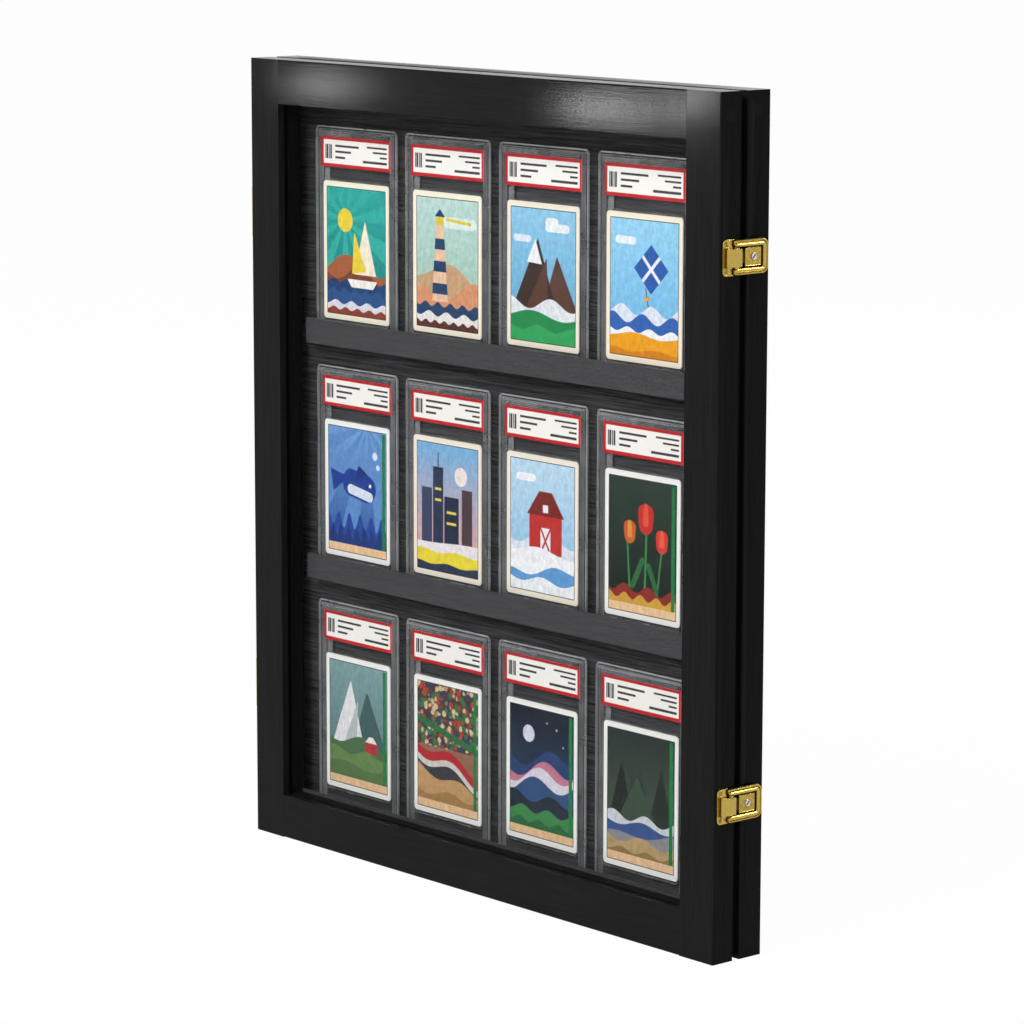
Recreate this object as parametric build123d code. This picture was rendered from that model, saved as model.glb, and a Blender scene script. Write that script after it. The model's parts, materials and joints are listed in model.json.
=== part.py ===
from build123d import *
import os

# A wall display case for graded trading cards: a shallow wooden box, a framed door with a clear
# pane, three ledges that carry twelve slabs in four columns, two brass hinges and two brass
# key latches. Millimetres, +Z up, the door faces -Y, and the origin is the middle of the face
# that the box stands on, under its bottom board.

# ---- slabs: their size sets the pitches, the pitches set the case ------------------------------
SLAB_W = 81.0
SLAB_H = 136.0
SLAB_T = 6.5
SLAB_ROUND = 3.0
COLUMNS = 4
ROWS = 3
COLUMN_SPACE = 9.0  # from a slab to its neighbour
COLUMN_SHIFT = -3.0  # the four columns stand a little left of the middle
ROW_SPACE = 19.0  # from a slab's top to the underside of the next slab
COLUMN_PITCH = SLAB_W + COLUMN_SPACE
ROW_PITCH = SLAB_H + ROW_SPACE
CARD_BESIDE = 7.5  # slab's side edge to the card's
CARD_BELOW_TOP = 35.0  # slab's top edge to the card's
CARD_ABOVE_BASE = 12.0  # slab's lower edge to the card's
CARD_W = SLAB_W - 2 * CARD_BESIDE
CARD_H = SLAB_H - CARD_BELOW_TOP - CARD_ABOVE_BASE
CARD_T = 0.5
CARD_ROUND = 2.5
LABEL_BESIDE = 5.5  # slab's side edge to the label's
LABEL_BELOW_TOP = 6.5  # slab's top edge to the label's
LABEL_W = SLAB_W - 2 * LABEL_BESIDE
LABEL_H = 19.5
LABEL_T = 0.4
POCKET_FREE = 0.4  # round card and label inside the slab

# ---- overall frame -------------------------------------------------------------------------
BOX_WALL = 19.0  # thickness of the box's four boards
END_ROOM = 19.5  # inside the box, beside the columns
HEAD_ROOM = 9.0  # inside the box, above the rows
CASE_W = 2 * (BOX_WALL + END_ROOM) + COLUMNS * COLUMN_PITCH  # across both stiles
CASE_H = 2 * BOX_WALL + HEAD_ROOM + ROWS * ROW_PITCH  # full height of door and box
CASE_D = 39.0  # door front to box back
DOOR_T = 16.0  # thickness of the door frame
DOOR_MEMBER = 28.5  # face width of the door's stiles and rails
SHADOW_GROOVE = 5.5  # recess seen between door and box
GROOVE_SET_IN = 4.0  # how far the box's tongue is set in from its sides
RUN_GAP = 0.3  # least gap between pieces that move apart
EDGE_ROUND = 1.0  # eased long edges of the door frame

# ---- pane, beads and back panel --------------------------------------------------------------
PANE_LIP = 5.0  # wood in front of the pane
PANE_T = 3.0
REBATE_W = 8.0  # how far the rebate reaches behind the opening
PANE_FREE = 0.5  # pane to rebate wall, all round
PANEL_T = 4.0  # grained display panel
PANEL_HOLD = 4.0  # panel edge held in the box's groove

# ---- ledges ----------------------------------------------------------------------------------
LEDGE_FLOOR = 4.7
LEDGE_LIP_T = 2.4
LEDGE_LIP_RISE = 11.3  # lip above the floor on the upper ledges
BOTTOM_LIP_RISE = 6.3  # lip above the floor on the bottom ledge
LEDGE_END_FREE = 16.0  # upper ledges stop short of the box's walls
LEDGE_SCREWS = 3
LEDGE_SCREW_FROM_END = 33.5  # outer screws in from an upper ledge's ends
LEDGE_SCREW_LENGTH = 11.0

# ---- corner dowels ---------------------------------------------------------------------------
DOWEL_R = 3.5
DOOR_DOWEL_FROM_END = 14.0  # dowel centre below the top, and above the base
BOX_DOWEL_FROM_END = 11.0
DOWEL_BITE = 24.0  # depth in the rail beyond the stile

# ---- small screws shared by hinges, latches and hangers ---------------------------------------
SCREW_HEAD_R = 1.5
SCREW_HEAD_H = 0.8
SCREW_R = 0.9
SCREW_LENGTH = 7.0

# ---- hinges ----------------------------------------------------------------------------------
HINGE_FROM_END = 100.0
HINGE_H = 32.0
LEAF_T = 1.0
LEAF_FROM_FRONT = 1.0
LEAF_FROM_BACK = 3.0
LEAF_KNUCKLE_FREE = 0.4  # leaf edge to the other leaf's knuckles
KNUCKLE_R = 2.1
HINGE_PIN_R = 1.0
HINGE_PIN_FREE = 0.08
PIVOT_OUT = 1.2  # hinge axis outside the case's side
HINGE_SCREW_PITCH = 18.0

# ---- latches, along the case's depth and out from its side --------------------------------------
LATCH_FROM_END = 95.0
PLATE_T = 1.0
KEEPER_FROM_FRONT = 1.6
KEEPER_SHORT = 1.0  # keeper stops this far before the door's back
PLATE_H = 21.0
PLATE_ROUND = 2.5
KEEPER_SCREW_IN = 2.6  # keeper's screws in from its front corners
RING_H = 20.5
RING_ARM = 4.4
RING_BAR = 3.2
RING_T = 2.4
RING_ROUND = 3.4
RING_EASE = 0.7
RING_PIVOT_BACK = 5.4  # ring's pin in front of the door's back
RING_PIVOT_OUT = 1.9
RING_TAIL = 1.3  # rounded arm ends in front of the pin
RING_KNUCKLE_W = 7.0
CRESCENT_FREE = 0.5  # plate cut away round the arm ends
RING_END_SHORT = 2.7  # ring's far end before the case's back
RING_PIN_R = 0.6
KNUCKLE_WALL = 0.5
PIN_FREE = 0.08
CLAW_H = 10.2
CLAW_T = 0.9
CLAW_PIVOT_BACK = 11.1  # claw's pin in front of the door's back
CLAW_PIVOT_OUT = 2.4
CLAW_BARREL_R = 1.1
CLAW_PIN_R = 0.5
CLAW_LUG_T = 0.8
CLAW_UNDER = 3.5  # underside of the claw above the side
CLAW_LIP = 0.8
CATCH_W = 7.0
CATCH_T = 0.7
CATCH_OVER_DOOR = 2.6  # catch reaches over the door's edge by this
HOUSING_H = 9.5
HOUSING_TOP = 2.9
HOUSING_PAST_DOOR = 1.6  # housing starts this far behind the door's back
HOUSING_FREE = 1.7  # housing to the ring's far bar
BASE_FROM_BACK = 2.0
BASE_SCREW_SPREAD = 15.0
CYLINDER_R = 2.0
CYLINDER_PROUD = 0.4
KEY_SLOT_W = 0.7
KEY_SLOT_L = 3.0
KEY_SLOT_DEPTH = 0.8
KEY_ANGLE = 45.0

# ---- wall hangers ------------------------------------------------------------------------------
HANGER_W = 14.0
HANGER_H = 45.0
HANGER_T = 1.5
HANGER_FROM_TOP = 60.0
HANGER_EYE_R = 4.0  # round eye for a wall pin
HANGER_POCKET_FREE = 0.5  # blind pocket behind the eye, round the pin
HANGER_POCKET_DEPTH = 8.0
HANGER_SCREW_PITCH = 35.0

# ---- planes and places worked out from the sizes above -------------------------------------------
SIDE_X = CASE_W / 2
BOARD_D = CASE_D - DOOR_T - SHADOW_GROOVE
BACK_Y = BOARD_D / 2
BOX_FRONT_Y = BACK_Y - BOARD_D
DOOR_BACK_Y = BOX_FRONT_Y - SHADOW_GROOVE
FRONT_Y = DOOR_BACK_Y - DOOR_T
TONGUE_Y = DOOR_BACK_Y + RUN_GAP
PANE_Y = FRONT_Y + PANE_LIP
BEAD_Y = PANE_Y + PANE_T
OPEN_X = SIDE_X - DOOR_MEMBER
OPEN_TOP = CASE_H - DOOR_MEMBER
INNER_X = SIDE_X - BOX_WALL
INNER_TOP = CASE_H - BOX_WALL
UPPER_REACH = INNER_X - LEDGE_END_FREE
LEDGE_Y = TONGUE_Y + RUN_GAP / 2
SLAB_Y = LEDGE_Y + LEDGE_LIP_T + RUN_GAP
SPLIT_Y = SLAB_Y + SLAB_T / 2
PANEL_Y = SLAB_Y + SLAB_T + RUN_GAP
PANEL_BACK_Y = PANEL_Y + PANEL_T
HINGE_Y = DOOR_BACK_Y + SHADOW_GROOVE / 2
HINGE_X = -SIDE_X - PIVOT_OUT
HINGE_Z = {"lower": HINGE_FROM_END, "upper": CASE_H - HINGE_FROM_END}
LATCH_Z = {"lower": LATCH_FROM_END, "upper": CASE_H - LATCH_FROM_END}
HANGER_X = SIDE_X - BOX_WALL / 2
HANGER_Z = CASE_H - HANGER_FROM_TOP

Y_AXIS_UP = Rot(-90, 0, 0)  # turns a shape built along Z to run along +Y
X_AXIS_OUT = Rot(0, 90, 0)  # turns a shape built along Z to run along +X


def block(x0, x1, y0, y1, z0, z1):
    """A box between two corners."""
    middle = ((x0 + x1) / 2, (y0 + y1) / 2, (z0 + z1) / 2)
    return Pos(*middle) * Box(x1 - x0, y1 - y0, z1 - z0)


def rod(place, radius, length, turn=Rot()):
    """A round bar that starts at a place and runs along its turned Z axis."""
    low = (Align.CENTER, Align.CENTER, Align.MIN)
    return Pos(*place) * turn * Cylinder(radius, length, align=low)


def save(name, shapes):
    """Writes one node; a list of solids becomes one group."""
    if isinstance(shapes, list):
        shapes = Compound(children=shapes)
    export_step(shapes, "parts/" + name + ".step")


def both(make):
    """Builds a mirrored pair from a function of the side, -1 or 1."""
    return [make(side) for side in (-1, 1)]


def drilled(solid, tools):
    """The solid with room for each fastener, dowel or panel that it holds."""
    for tool in tools:
        solid = solid - tool
    return solid


def wood_screw(place, turn):
    """A small countersunk screw with its head at a place, driven along the turned Z axis."""
    low = (Align.CENTER, Align.CENTER, Align.MIN)
    head = Cone(SCREW_HEAD_R, SCREW_R, SCREW_HEAD_H, align=low)
    shank = Cylinder(SCREW_R, SCREW_LENGTH, align=low)
    return Pos(*place) * turn * (head + shank)


# ---- corner dowels -------------------------------------------------------------------------------
def dowels(middle_y, member, from_end):
    """Four dowels, each through a stile into the end of a rail."""
    length = member + DOWEL_BITE
    found = []
    for z in (from_end, CASE_H - from_end):
        found.append(rod((-SIDE_X, middle_y, z), DOWEL_R, length, X_AXIS_OUT))
        found.append(rod((SIDE_X - length, middle_y, z), DOWEL_R, length, X_AXIS_OUT))
    return found


# ---- box -----------------------------------------------------------------------------------------
def display_panel():
    reach = INNER_X + PANEL_HOLD
    low, high = BOX_WALL - PANEL_HOLD, INNER_TOP + PANEL_HOLD
    return block(-reach, reach, PANEL_Y, PANEL_BACK_Y, low, high)


def box_side(side):
    """A full-height board whose front edge is stepped back by the shadow groove."""
    outer, inner = side * SIDE_X, side * INNER_X
    board = block(*sorted((outer, inner)), BOX_FRONT_Y, BACK_Y, 0, CASE_H)
    set_in = side * (SIDE_X - GROOVE_SET_IN)
    tongue_top = CASE_H - GROOVE_SET_IN
    tongue = block(*sorted((set_in, inner)), TONGUE_Y, BOX_FRONT_Y, GROOVE_SET_IN, tongue_top)
    return board + tongue


def box_end(z_out, z_in):
    """A board between the sides, with the same stepped front edge."""
    board = block(-INNER_X, INNER_X, BOX_FRONT_Y, BACK_Y, *sorted((z_out, z_in)))
    inward = 1 if z_in > z_out else -1
    set_in = z_out + inward * GROOVE_SET_IN
    return board + block(-INNER_X, INNER_X, TONGUE_Y, BOX_FRONT_Y, *sorted((set_in, z_in)))


def ledge(reach, z, lip_rise):
    """An L-section strip: a floor under the slabs and a lip in front of them."""
    floor = block(-reach, reach, LEDGE_Y, PANEL_Y, z, z + LEDGE_FLOOR)
    lip_top = z + LEDGE_FLOOR + lip_rise
    return floor + block(-reach, reach, LEDGE_Y, LEDGE_Y + LEDGE_LIP_T, z, lip_top)


def ledge_z(row):
    """Underside of a row's ledge; row 1 is the top row."""
    return BOX_WALL + (ROWS - row) * ROW_PITCH


def ledge_screws():
    """Screws through the panel into each ledge's floor, from behind."""
    found = []
    for row in range(1, ROWS + 1):
        z = ledge_z(row) + LEDGE_FLOOR / 2
        for place in range(LEDGE_SCREWS):
            x = (2 * place / (LEDGE_SCREWS - 1) - 1) * (UPPER_REACH - LEDGE_SCREW_FROM_END)
            start = (x, PANEL_BACK_Y - LEDGE_SCREW_LENGTH, z)
            found.append(rod(start, SCREW_R, LEDGE_SCREW_LENGTH, Y_AXIS_UP))
            flange = (x, PANEL_BACK_Y, z)
            found[-1] = found[-1] + rod(flange, SCREW_HEAD_R, SCREW_HEAD_H, Y_AXIS_UP)
    return found


# ---- wall hangers ----------------------------------------------------------------------------------
def hanger_outline(side):
    """The full plate, which is also its seat in the side board."""
    x = side * HANGER_X
    low, high = HANGER_Z - HANGER_H / 2, HANGER_Z + HANGER_H / 2
    return block(x - HANGER_W / 2, x + HANGER_W / 2, BACK_Y - HANGER_T, BACK_Y, low, high)


def hanger(side):
    """A plate with a round eye, let in flush with the back of a side board."""
    eye = rod((side * HANGER_X, BACK_Y - HANGER_T, HANGER_Z), HANGER_EYE_R, HANGER_T, Y_AXIS_UP)
    return hanger_outline(side) - eye


def hanger_pocket(side):
    """The plate's seat and the blind pocket behind its eye for the wall pin."""
    start = (side * HANGER_X, BACK_Y - HANGER_POCKET_DEPTH, HANGER_Z)
    radius = HANGER_EYE_R + HANGER_POCKET_FREE
    return hanger_outline(side) + rod(start, radius, HANGER_POCKET_DEPTH, Y_AXIS_UP)


def hanger_screws():
    inward = Rot(90, 0, 0)
    found = []
    for side in (-1, 1):
        for half in (-1, 1):
            z = HANGER_Z + half * HANGER_SCREW_PITCH / 2
            found.append(wood_screw((side * HANGER_X, BACK_Y, z), inward))
    return found


# ---- door ------------------------------------------------------------------------------------------
def rebate():
    """The space behind the front lip that takes the pane and its beads."""
    reach = OPEN_X + REBATE_W
    low, high = DOOR_MEMBER - REBATE_W, OPEN_TOP + REBATE_W
    return block(-reach, reach, PANE_Y, DOOR_BACK_Y, low, high)


def door_stile(side):
    board = block(*sorted((side * SIDE_X, side * OPEN_X)), FRONT_Y, DOOR_BACK_Y, 0, CASE_H)
    long_edges = board.edges().filter_by(Axis.Z).group_by(Axis.Y)[0]
    outer_edge = long_edges.sort_by(Axis.X)[0 if side < 0 else -1]
    return fillet(outer_edge, EDGE_ROUND) - rebate()


def door_rail(z_low):
    board = block(-OPEN_X, OPEN_X, FRONT_Y, DOOR_BACK_Y, z_low, z_low + DOOR_MEMBER)
    long_edges = board.edges().filter_by(Axis.X).group_by(Axis.Y)[0]
    outer_edge = long_edges.sort_by(Axis.Z)[-1 if z_low > 0 else 0]
    return fillet(outer_edge, EDGE_ROUND) - rebate()


def pane():
    reach = OPEN_X + REBATE_W - PANE_FREE
    low, high = DOOR_MEMBER - REBATE_W + PANE_FREE, OPEN_TOP + REBATE_W - PANE_FREE
    return block(-reach, reach, PANE_Y, BEAD_Y, low, high)


def beads():
    """Four square beads that hold the pane and finish flush with the opening."""
    low, high = DOOR_MEMBER - REBATE_W, OPEN_TOP + REBATE_W
    reach = OPEN_X + REBATE_W
    found = both(
        lambda side: block(
            *sorted((side * OPEN_X, side * reach)), BEAD_Y, DOOR_BACK_Y, low, high
        )
    )
    for z0, z1 in ((low, DOOR_MEMBER), (OPEN_TOP, high)):
        found.append(block(-OPEN_X, OPEN_X, BEAD_Y, DOOR_BACK_Y, z0, z1))
    return found


# ---- hinges ----------------------------------------------------------------------------------------
def hinge_leaf(z, on_door):
    """A leaf on the left side; the box's leaf has the two outer knuckles, the door's the middle."""
    knuckle = (HINGE_H - 2 * RUN_GAP) / 3
    low = z - HINGE_H / 2
    if on_door:
        y0, y1 = FRONT_Y + LEAF_FROM_FRONT, HINGE_Y - KNUCKLE_R - LEAF_KNUCKLE_FREE
        spans = [low + knuckle + RUN_GAP]
    else:
        y0, y1 = HINGE_Y + KNUCKLE_R + LEAF_KNUCKLE_FREE, BACK_Y - LEAF_FROM_BACK
        spans = [low, low + 2 * (knuckle + RUN_GAP)]
    leaf = block(-SIDE_X - LEAF_T, -SIDE_X, y0, y1, low, low + HINGE_H)
    near = y1 if on_door else y0
    for start in spans:
        web = sorted((near, HINGE_Y))
        leaf = leaf + block(-SIDE_X - LEAF_T, -SIDE_X, *web, start, start + knuckle)
        leaf = leaf + rod((HINGE_X, HINGE_Y, start), KNUCKLE_R, knuckle)
    return leaf - rod((HINGE_X, HINGE_Y, low), HINGE_PIN_R + HINGE_PIN_FREE, HINGE_H)


def hinge_screws(middle_y):
    """Two screws in each of two leaves that share a line along Z."""
    found = []
    for z in HINGE_Z.values():
        for half in (-1, 1):
            place = (-SIDE_X - LEAF_T, middle_y, z + half * HINGE_SCREW_PITCH / 2)
            found.append(wood_screw(place, X_AXIS_OUT))
    return found


def hinge_pin(z):
    return rod((HINGE_X, HINGE_Y, z - HINGE_H / 2), HINGE_PIN_R, HINGE_H)


# ---- latches ---------------------------------------------------------------------------------------
RING_Y = DOOR_BACK_Y - RING_PIVOT_BACK
CLAW_Y = DOOR_BACK_Y - CLAW_PIVOT_BACK
KEEPER_Y0 = FRONT_Y + KEEPER_FROM_FRONT
KEEPER_Y1 = DOOR_BACK_Y - KEEPER_SHORT
HOUSING_Y0 = DOOR_BACK_Y + HOUSING_PAST_DOOR
CATCH_Y0 = DOOR_BACK_Y - CATCH_OVER_DOOR
CATCH_BASE = PLATE_T + RUN_GAP
RING_UNDER = PLATE_T + RUN_GAP
BASE_Y0 = BOX_FRONT_Y + RUN_GAP
BASE_Y1 = BACK_Y - BASE_FROM_BACK
RING_END_Y = BACK_Y - RING_END_SHORT
HOUSING_Y1 = RING_END_Y - RING_BAR - HOUSING_FREE
CYLINDER_Y = (HOUSING_Y0 + HOUSING_Y1) / 2
ARM_END_Y = RING_Y + RING_ARM / 2 - RING_TAIL
ARM_Z = (RING_H - RING_ARM) / 2


def side_block(out0, out1, y0, y1, z, height):
    """A box on the right side, given by how far it stands out and centred on a height."""
    return block(SIDE_X + out0, SIDE_X + out1, y0, y1, z - height / 2, z + height / 2)


def latch_keeper(z):
    """The door's plate: a knuckle for the ring's pin, lugs for the claw's, crescents for the arms."""
    plate = side_block(0, PLATE_T, KEEPER_Y0, KEEPER_Y1, z, PLATE_H)
    corners = plate.edges().filter_by(Axis.X).group_by(Axis.Y)[0]
    plate = fillet(corners, PLATE_ROUND)
    for half in (-1, 1):
        arm = z + half * ARM_Z
        room = RING_ARM / 2 + CRESCENT_FREE
        plate = plate - rod((SIDE_X, ARM_END_Y, arm), room, PLATE_T, X_AXIS_OUT)
        beside = side_block(0, PLATE_T, ARM_END_Y, DOOR_BACK_Y, arm + half * room, 4 * room)
        plate = plate - beside
    knuckle_r = RING_PIN_R + PIN_FREE + KNUCKLE_WALL
    knuckle_y = (RING_Y - knuckle_r, RING_Y + knuckle_r)
    knuckle_x = SIDE_X + RING_PIVOT_OUT
    seat = side_block(PLATE_T, RING_PIVOT_OUT, *knuckle_y, z, RING_KNUCKLE_W)
    barrel = rod((knuckle_x, RING_Y, z - RING_KNUCKLE_W / 2), knuckle_r, RING_KNUCKLE_W)
    plate = plate + seat + barrel
    lug_z = CLAW_H / 2 + RUN_GAP + CLAW_LUG_T / 2
    lug_r = CLAW_PIN_R + PIN_FREE + KNUCKLE_WALL
    lug_y = (CLAW_Y - lug_r, CLAW_Y + lug_r)
    lug_x = SIDE_X + CLAW_PIVOT_OUT
    for half in (-1, 1):
        middle = z + half * lug_z
        foot = side_block(PLATE_T, CLAW_PIVOT_OUT, *lug_y, middle, CLAW_LUG_T)
        cap = rod((lug_x, CLAW_Y, middle - CLAW_LUG_T / 2), lug_r, CLAW_LUG_T)
        plate = plate + foot + cap
    ring_bore = rod((knuckle_x, RING_Y, z - PLATE_H / 2), RING_PIN_R + PIN_FREE, PLATE_H)
    claw_bore = rod((lug_x, CLAW_Y, z - PLATE_H / 2), CLAW_PIN_R + PIN_FREE, PLATE_H)
    return plate - ring_bore - claw_bore


def keeper_screws():
    found = []
    into_side = Rot(0, -90, 0)
    for z in LATCH_Z.values():
        for half in (-1, 1):
            height = z + half * (PLATE_H / 2 - KEEPER_SCREW_IN)
            place = (SIDE_X + PLATE_T, KEEPER_Y0 + KEEPER_SCREW_IN, height)
            found.append(wood_screw(place, into_side))
    return found


def latch_ring(z):
    """The folding ring that drops over the lock housing, with its own pivot pin."""
    top = RING_UNDER + RING_T
    outer = side_block(RING_UNDER, top, ARM_END_Y, RING_END_Y, z, RING_H)
    far = outer.edges().filter_by(Axis.X).group_by(Axis.Y)[-1]
    outer = fillet(far, RING_ROUND)
    for half in (-1, 1):
        start = (SIDE_X + RING_UNDER, ARM_END_Y, z + half * ARM_Z)
        outer = outer + rod(start, RING_ARM / 2, RING_T, X_AXIS_OUT)
    window_h = RING_H - 2 * RING_ARM
    window = side_block(0, 2 * top, ARM_END_Y - RING_ARM, RING_END_Y - RING_BAR, z, window_h)
    ring = outer - window
    ring = chamfer(ring.faces().sort_by(Axis.X)[-1].edges(), RING_EASE)
    pin_length = RING_H - RING_ARM
    pin = rod((SIDE_X + RING_PIVOT_OUT, RING_Y, z - pin_length / 2), RING_PIN_R, pin_length)
    return ring + pin


def latch_claw(z):
    """The draw claw: a plate with a rolled barrel at the door and a hooked lip at the box."""
    end_y = DOOR_BACK_Y - CATCH_OVER_DOOR + CATCH_T + 2 * RUN_GAP + CLAW_LIP
    plate = side_block(CLAW_UNDER, CLAW_UNDER + CLAW_T, CLAW_Y, end_y, z, CLAW_H)
    roll = rod((SIDE_X + CLAW_PIVOT_OUT, CLAW_Y, z - CLAW_H / 2), CLAW_BARREL_R, CLAW_H)
    fold = side_block(
        CLAW_PIVOT_OUT, CLAW_UNDER + CLAW_T, CLAW_Y - CLAW_BARREL_R, CLAW_Y, z, CLAW_H
    )
    lip_out = CATCH_BASE + CATCH_T + RUN_GAP
    lip = side_block(lip_out, CLAW_UNDER, end_y - CLAW_LIP, end_y, z, CLAW_H)
    pin_length = CLAW_H + 2 * (RUN_GAP + CLAW_LUG_T)
    pin = rod((SIDE_X + CLAW_PIVOT_OUT, CLAW_Y, z - pin_length / 2), CLAW_PIN_R, pin_length)
    return plate + fold + roll + lip + pin


def latch_base(z):
    """The box's plate with the lock housing and the catch that the claw hooks over."""
    plate = side_block(0, PLATE_T, BASE_Y0, BASE_Y1, z, RING_H - RING_ARM / 2)
    housing = side_block(PLATE_T, HOUSING_TOP, HOUSING_Y0, HOUSING_Y1, z, HOUSING_H)
    tongue = side_block(CATCH_BASE, CATCH_BASE + CATCH_T, CATCH_Y0, HOUSING_Y0, z, CATCH_W)
    hook_top = CLAW_UNDER - RUN_GAP
    hook = side_block(CATCH_BASE, hook_top, CATCH_Y0, CATCH_Y0 + CATCH_T, z, CATCH_W)
    bore_r = CYLINDER_R + PIN_FREE
    bore = rod((SIDE_X + PLATE_T, CYLINDER_Y, z), bore_r, HOUSING_TOP, X_AXIS_OUT)
    return plate + housing + tongue + hook - bore


def base_screws():
    found = []
    into_side = Rot(0, -90, 0)
    for z in LATCH_Z.values():
        for half in (-1, 1):
            height = z + half * BASE_SCREW_SPREAD / 2
            found.append(wood_screw((SIDE_X + PLATE_T, CYLINDER_Y, height), into_side))
    return found


def lock_cylinder(z):
    """The slotted key cylinder; it turns in the housing."""
    length = HOUSING_TOP + CYLINDER_PROUD - PLATE_T - PIN_FREE
    start = (SIDE_X + PLATE_T + PIN_FREE, CYLINDER_Y, z)
    plug = rod(start, CYLINDER_R, length, X_AXIS_OUT)
    slot = Box(KEY_SLOT_DEPTH * 2, KEY_SLOT_W, KEY_SLOT_L)
    face_x = SIDE_X + HOUSING_TOP + CYLINDER_PROUD
    return plug - Pos(face_x, CYLINDER_Y, z) * Rot(-KEY_ANGLE, 0, 0) * slot


# ---- slabs -----------------------------------------------------------------------------------------
def slab_place(row, column):
    """Middle of a slab across the case, and the height of its lower edge."""
    x = COLUMN_SHIFT + (column - (COLUMNS + 1) / 2) * COLUMN_PITCH
    return x, ledge_z(row) + LEDGE_FLOOR + RUN_GAP


def upright(width, height, x, z_low, y0, y1, radius=0.0):
    """A flat upright sheet with rounded corners."""
    sheet = block(x - width / 2, x + width / 2, y0, y1, z_low, z_low + height)
    if radius > 0:
        sheet = fillet(sheet.edges().filter_by(Axis.Y), radius)
    return sheet


def card_insert(row, column, free=0.0):
    """The card and its label, or with some free room the pockets that hold them."""
    x, z = slab_place(row, column)
    card_z = z + SLAB_H - CARD_BELOW_TOP - CARD_H
    label_z = z + SLAB_H - LABEL_BELOW_TOP - LABEL_H
    room = 2 * free
    back = SPLIT_Y
    card = upright(
        CARD_W + room, CARD_H + room, x, card_z - free, back - CARD_T, back, CARD_ROUND
    )
    label = upright(LABEL_W + room, LABEL_H + room, x, label_z - free, back - LABEL_T, back)
    return [card, label]


def slab_case(row, column):
    """Two clear shells: the front one is pocketed for the card and the label."""
    x, z = slab_place(row, column)
    front = upright(SLAB_W, SLAB_H, x, z, SLAB_Y, SPLIT_Y, SLAB_ROUND)
    front = drilled(front, card_insert(row, column, POCKET_FREE))
    back = upright(SLAB_W, SLAB_H, x, z, SPLIT_Y, SLAB_Y + SLAB_T, SLAB_ROUND)
    return [front, back]


# ---- the model ---------------------------------------------------------------------------------------
os.makedirs("parts", exist_ok=True)

box_dowels = dowels(0, BOX_WALL, BOX_DOWEL_FROM_END)
door_dowels = dowels(FRONT_Y + DOOR_T / 2, DOOR_MEMBER, DOOR_DOWEL_FROM_END)
door_leaf_y = (FRONT_Y + LEAF_FROM_FRONT + HINGE_Y - KNUCKLE_R - LEAF_KNUCKLE_FREE) / 2
box_leaf_y = (BACK_Y - LEAF_FROM_BACK + HINGE_Y + KNUCKLE_R + LEAF_KNUCKLE_FREE) / 2
case_screws = hinge_screws(box_leaf_y) + base_screws() + hanger_screws()
door_screws = hinge_screws(door_leaf_y) + keeper_screws()
panel = display_panel()
pegs = ledge_screws()

for side, name in ((-1, "left"), (1, "right")):
    board = drilled(box_side(side), [panel, hanger_pocket(side)] + box_dowels + case_screws)
    save("box_side_" + name, board)
    save("hanger_" + name, drilled(hanger(side), case_screws))
    save("door_stile_" + name, drilled(door_stile(side), door_dowels + door_screws))

save("box_top", drilled(box_end(CASE_H, INNER_TOP), [panel] + box_dowels))
save("box_bottom", drilled(box_end(0, BOX_WALL), [panel] + box_dowels))
save("display_panel", drilled(panel, pegs))
save("door_rail_top", drilled(door_rail(OPEN_TOP), door_dowels))
save("door_rail_bottom", drilled(door_rail(0), door_dowels))
save("door_pane", pane())
save("door_beads", beads())

ledges = {
    "ledge_upper": ledge(UPPER_REACH, ledge_z(1), LEDGE_LIP_RISE),
    "ledge_middle": ledge(UPPER_REACH, ledge_z(2), LEDGE_LIP_RISE),
    "ledge_bottom": ledge(INNER_X, ledge_z(ROWS), BOTTOM_LIP_RISE),
}
for name, strip in ledges.items():
    save(name, drilled(strip, pegs))

save("ledge_screws", pegs)
save("box_dowels", box_dowels)
save("door_dowels", door_dowels)
save("box_hardware_screws", case_screws)
save("door_hardware_screws", door_screws)
save("hinge_pins", [hinge_pin(z) for z in HINGE_Z.values()])

for level, z in HINGE_Z.items():
    save("hinge_door_leaf_" + level, drilled(hinge_leaf(z, True), door_screws))
    save("hinge_box_leaf_" + level, drilled(hinge_leaf(z, False), case_screws))

for level, z in LATCH_Z.items():
    save("latch_keeper_" + level, drilled(latch_keeper(z), door_screws))
    save("latch_base_" + level, drilled(latch_base(z), case_screws))
    save("latch_ring_" + level, latch_ring(z))
    save("latch_claw_" + level, latch_claw(z))
    save("lock_cylinder_" + level, lock_cylinder(z))

for row in range(1, ROWS + 1):
    for column in range(1, COLUMNS + 1):
        place = "_r" + str(row) + "c" + str(column)
        save("slab_case" + place, slab_case(row, column))
        save("card_insert" + place, card_insert(row, column))
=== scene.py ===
"""Dresses the trading card display case: lacquered wood, brass hinges and latches, clear slabs and
printed cards. It is laid out as an add-on and can be run as a script."""

import json
import math

import bpy
from bpy.props import FloatProperty, FloatVectorProperty, IntProperty, PointerProperty
from mathutils import Euler, Matrix, Vector

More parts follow.
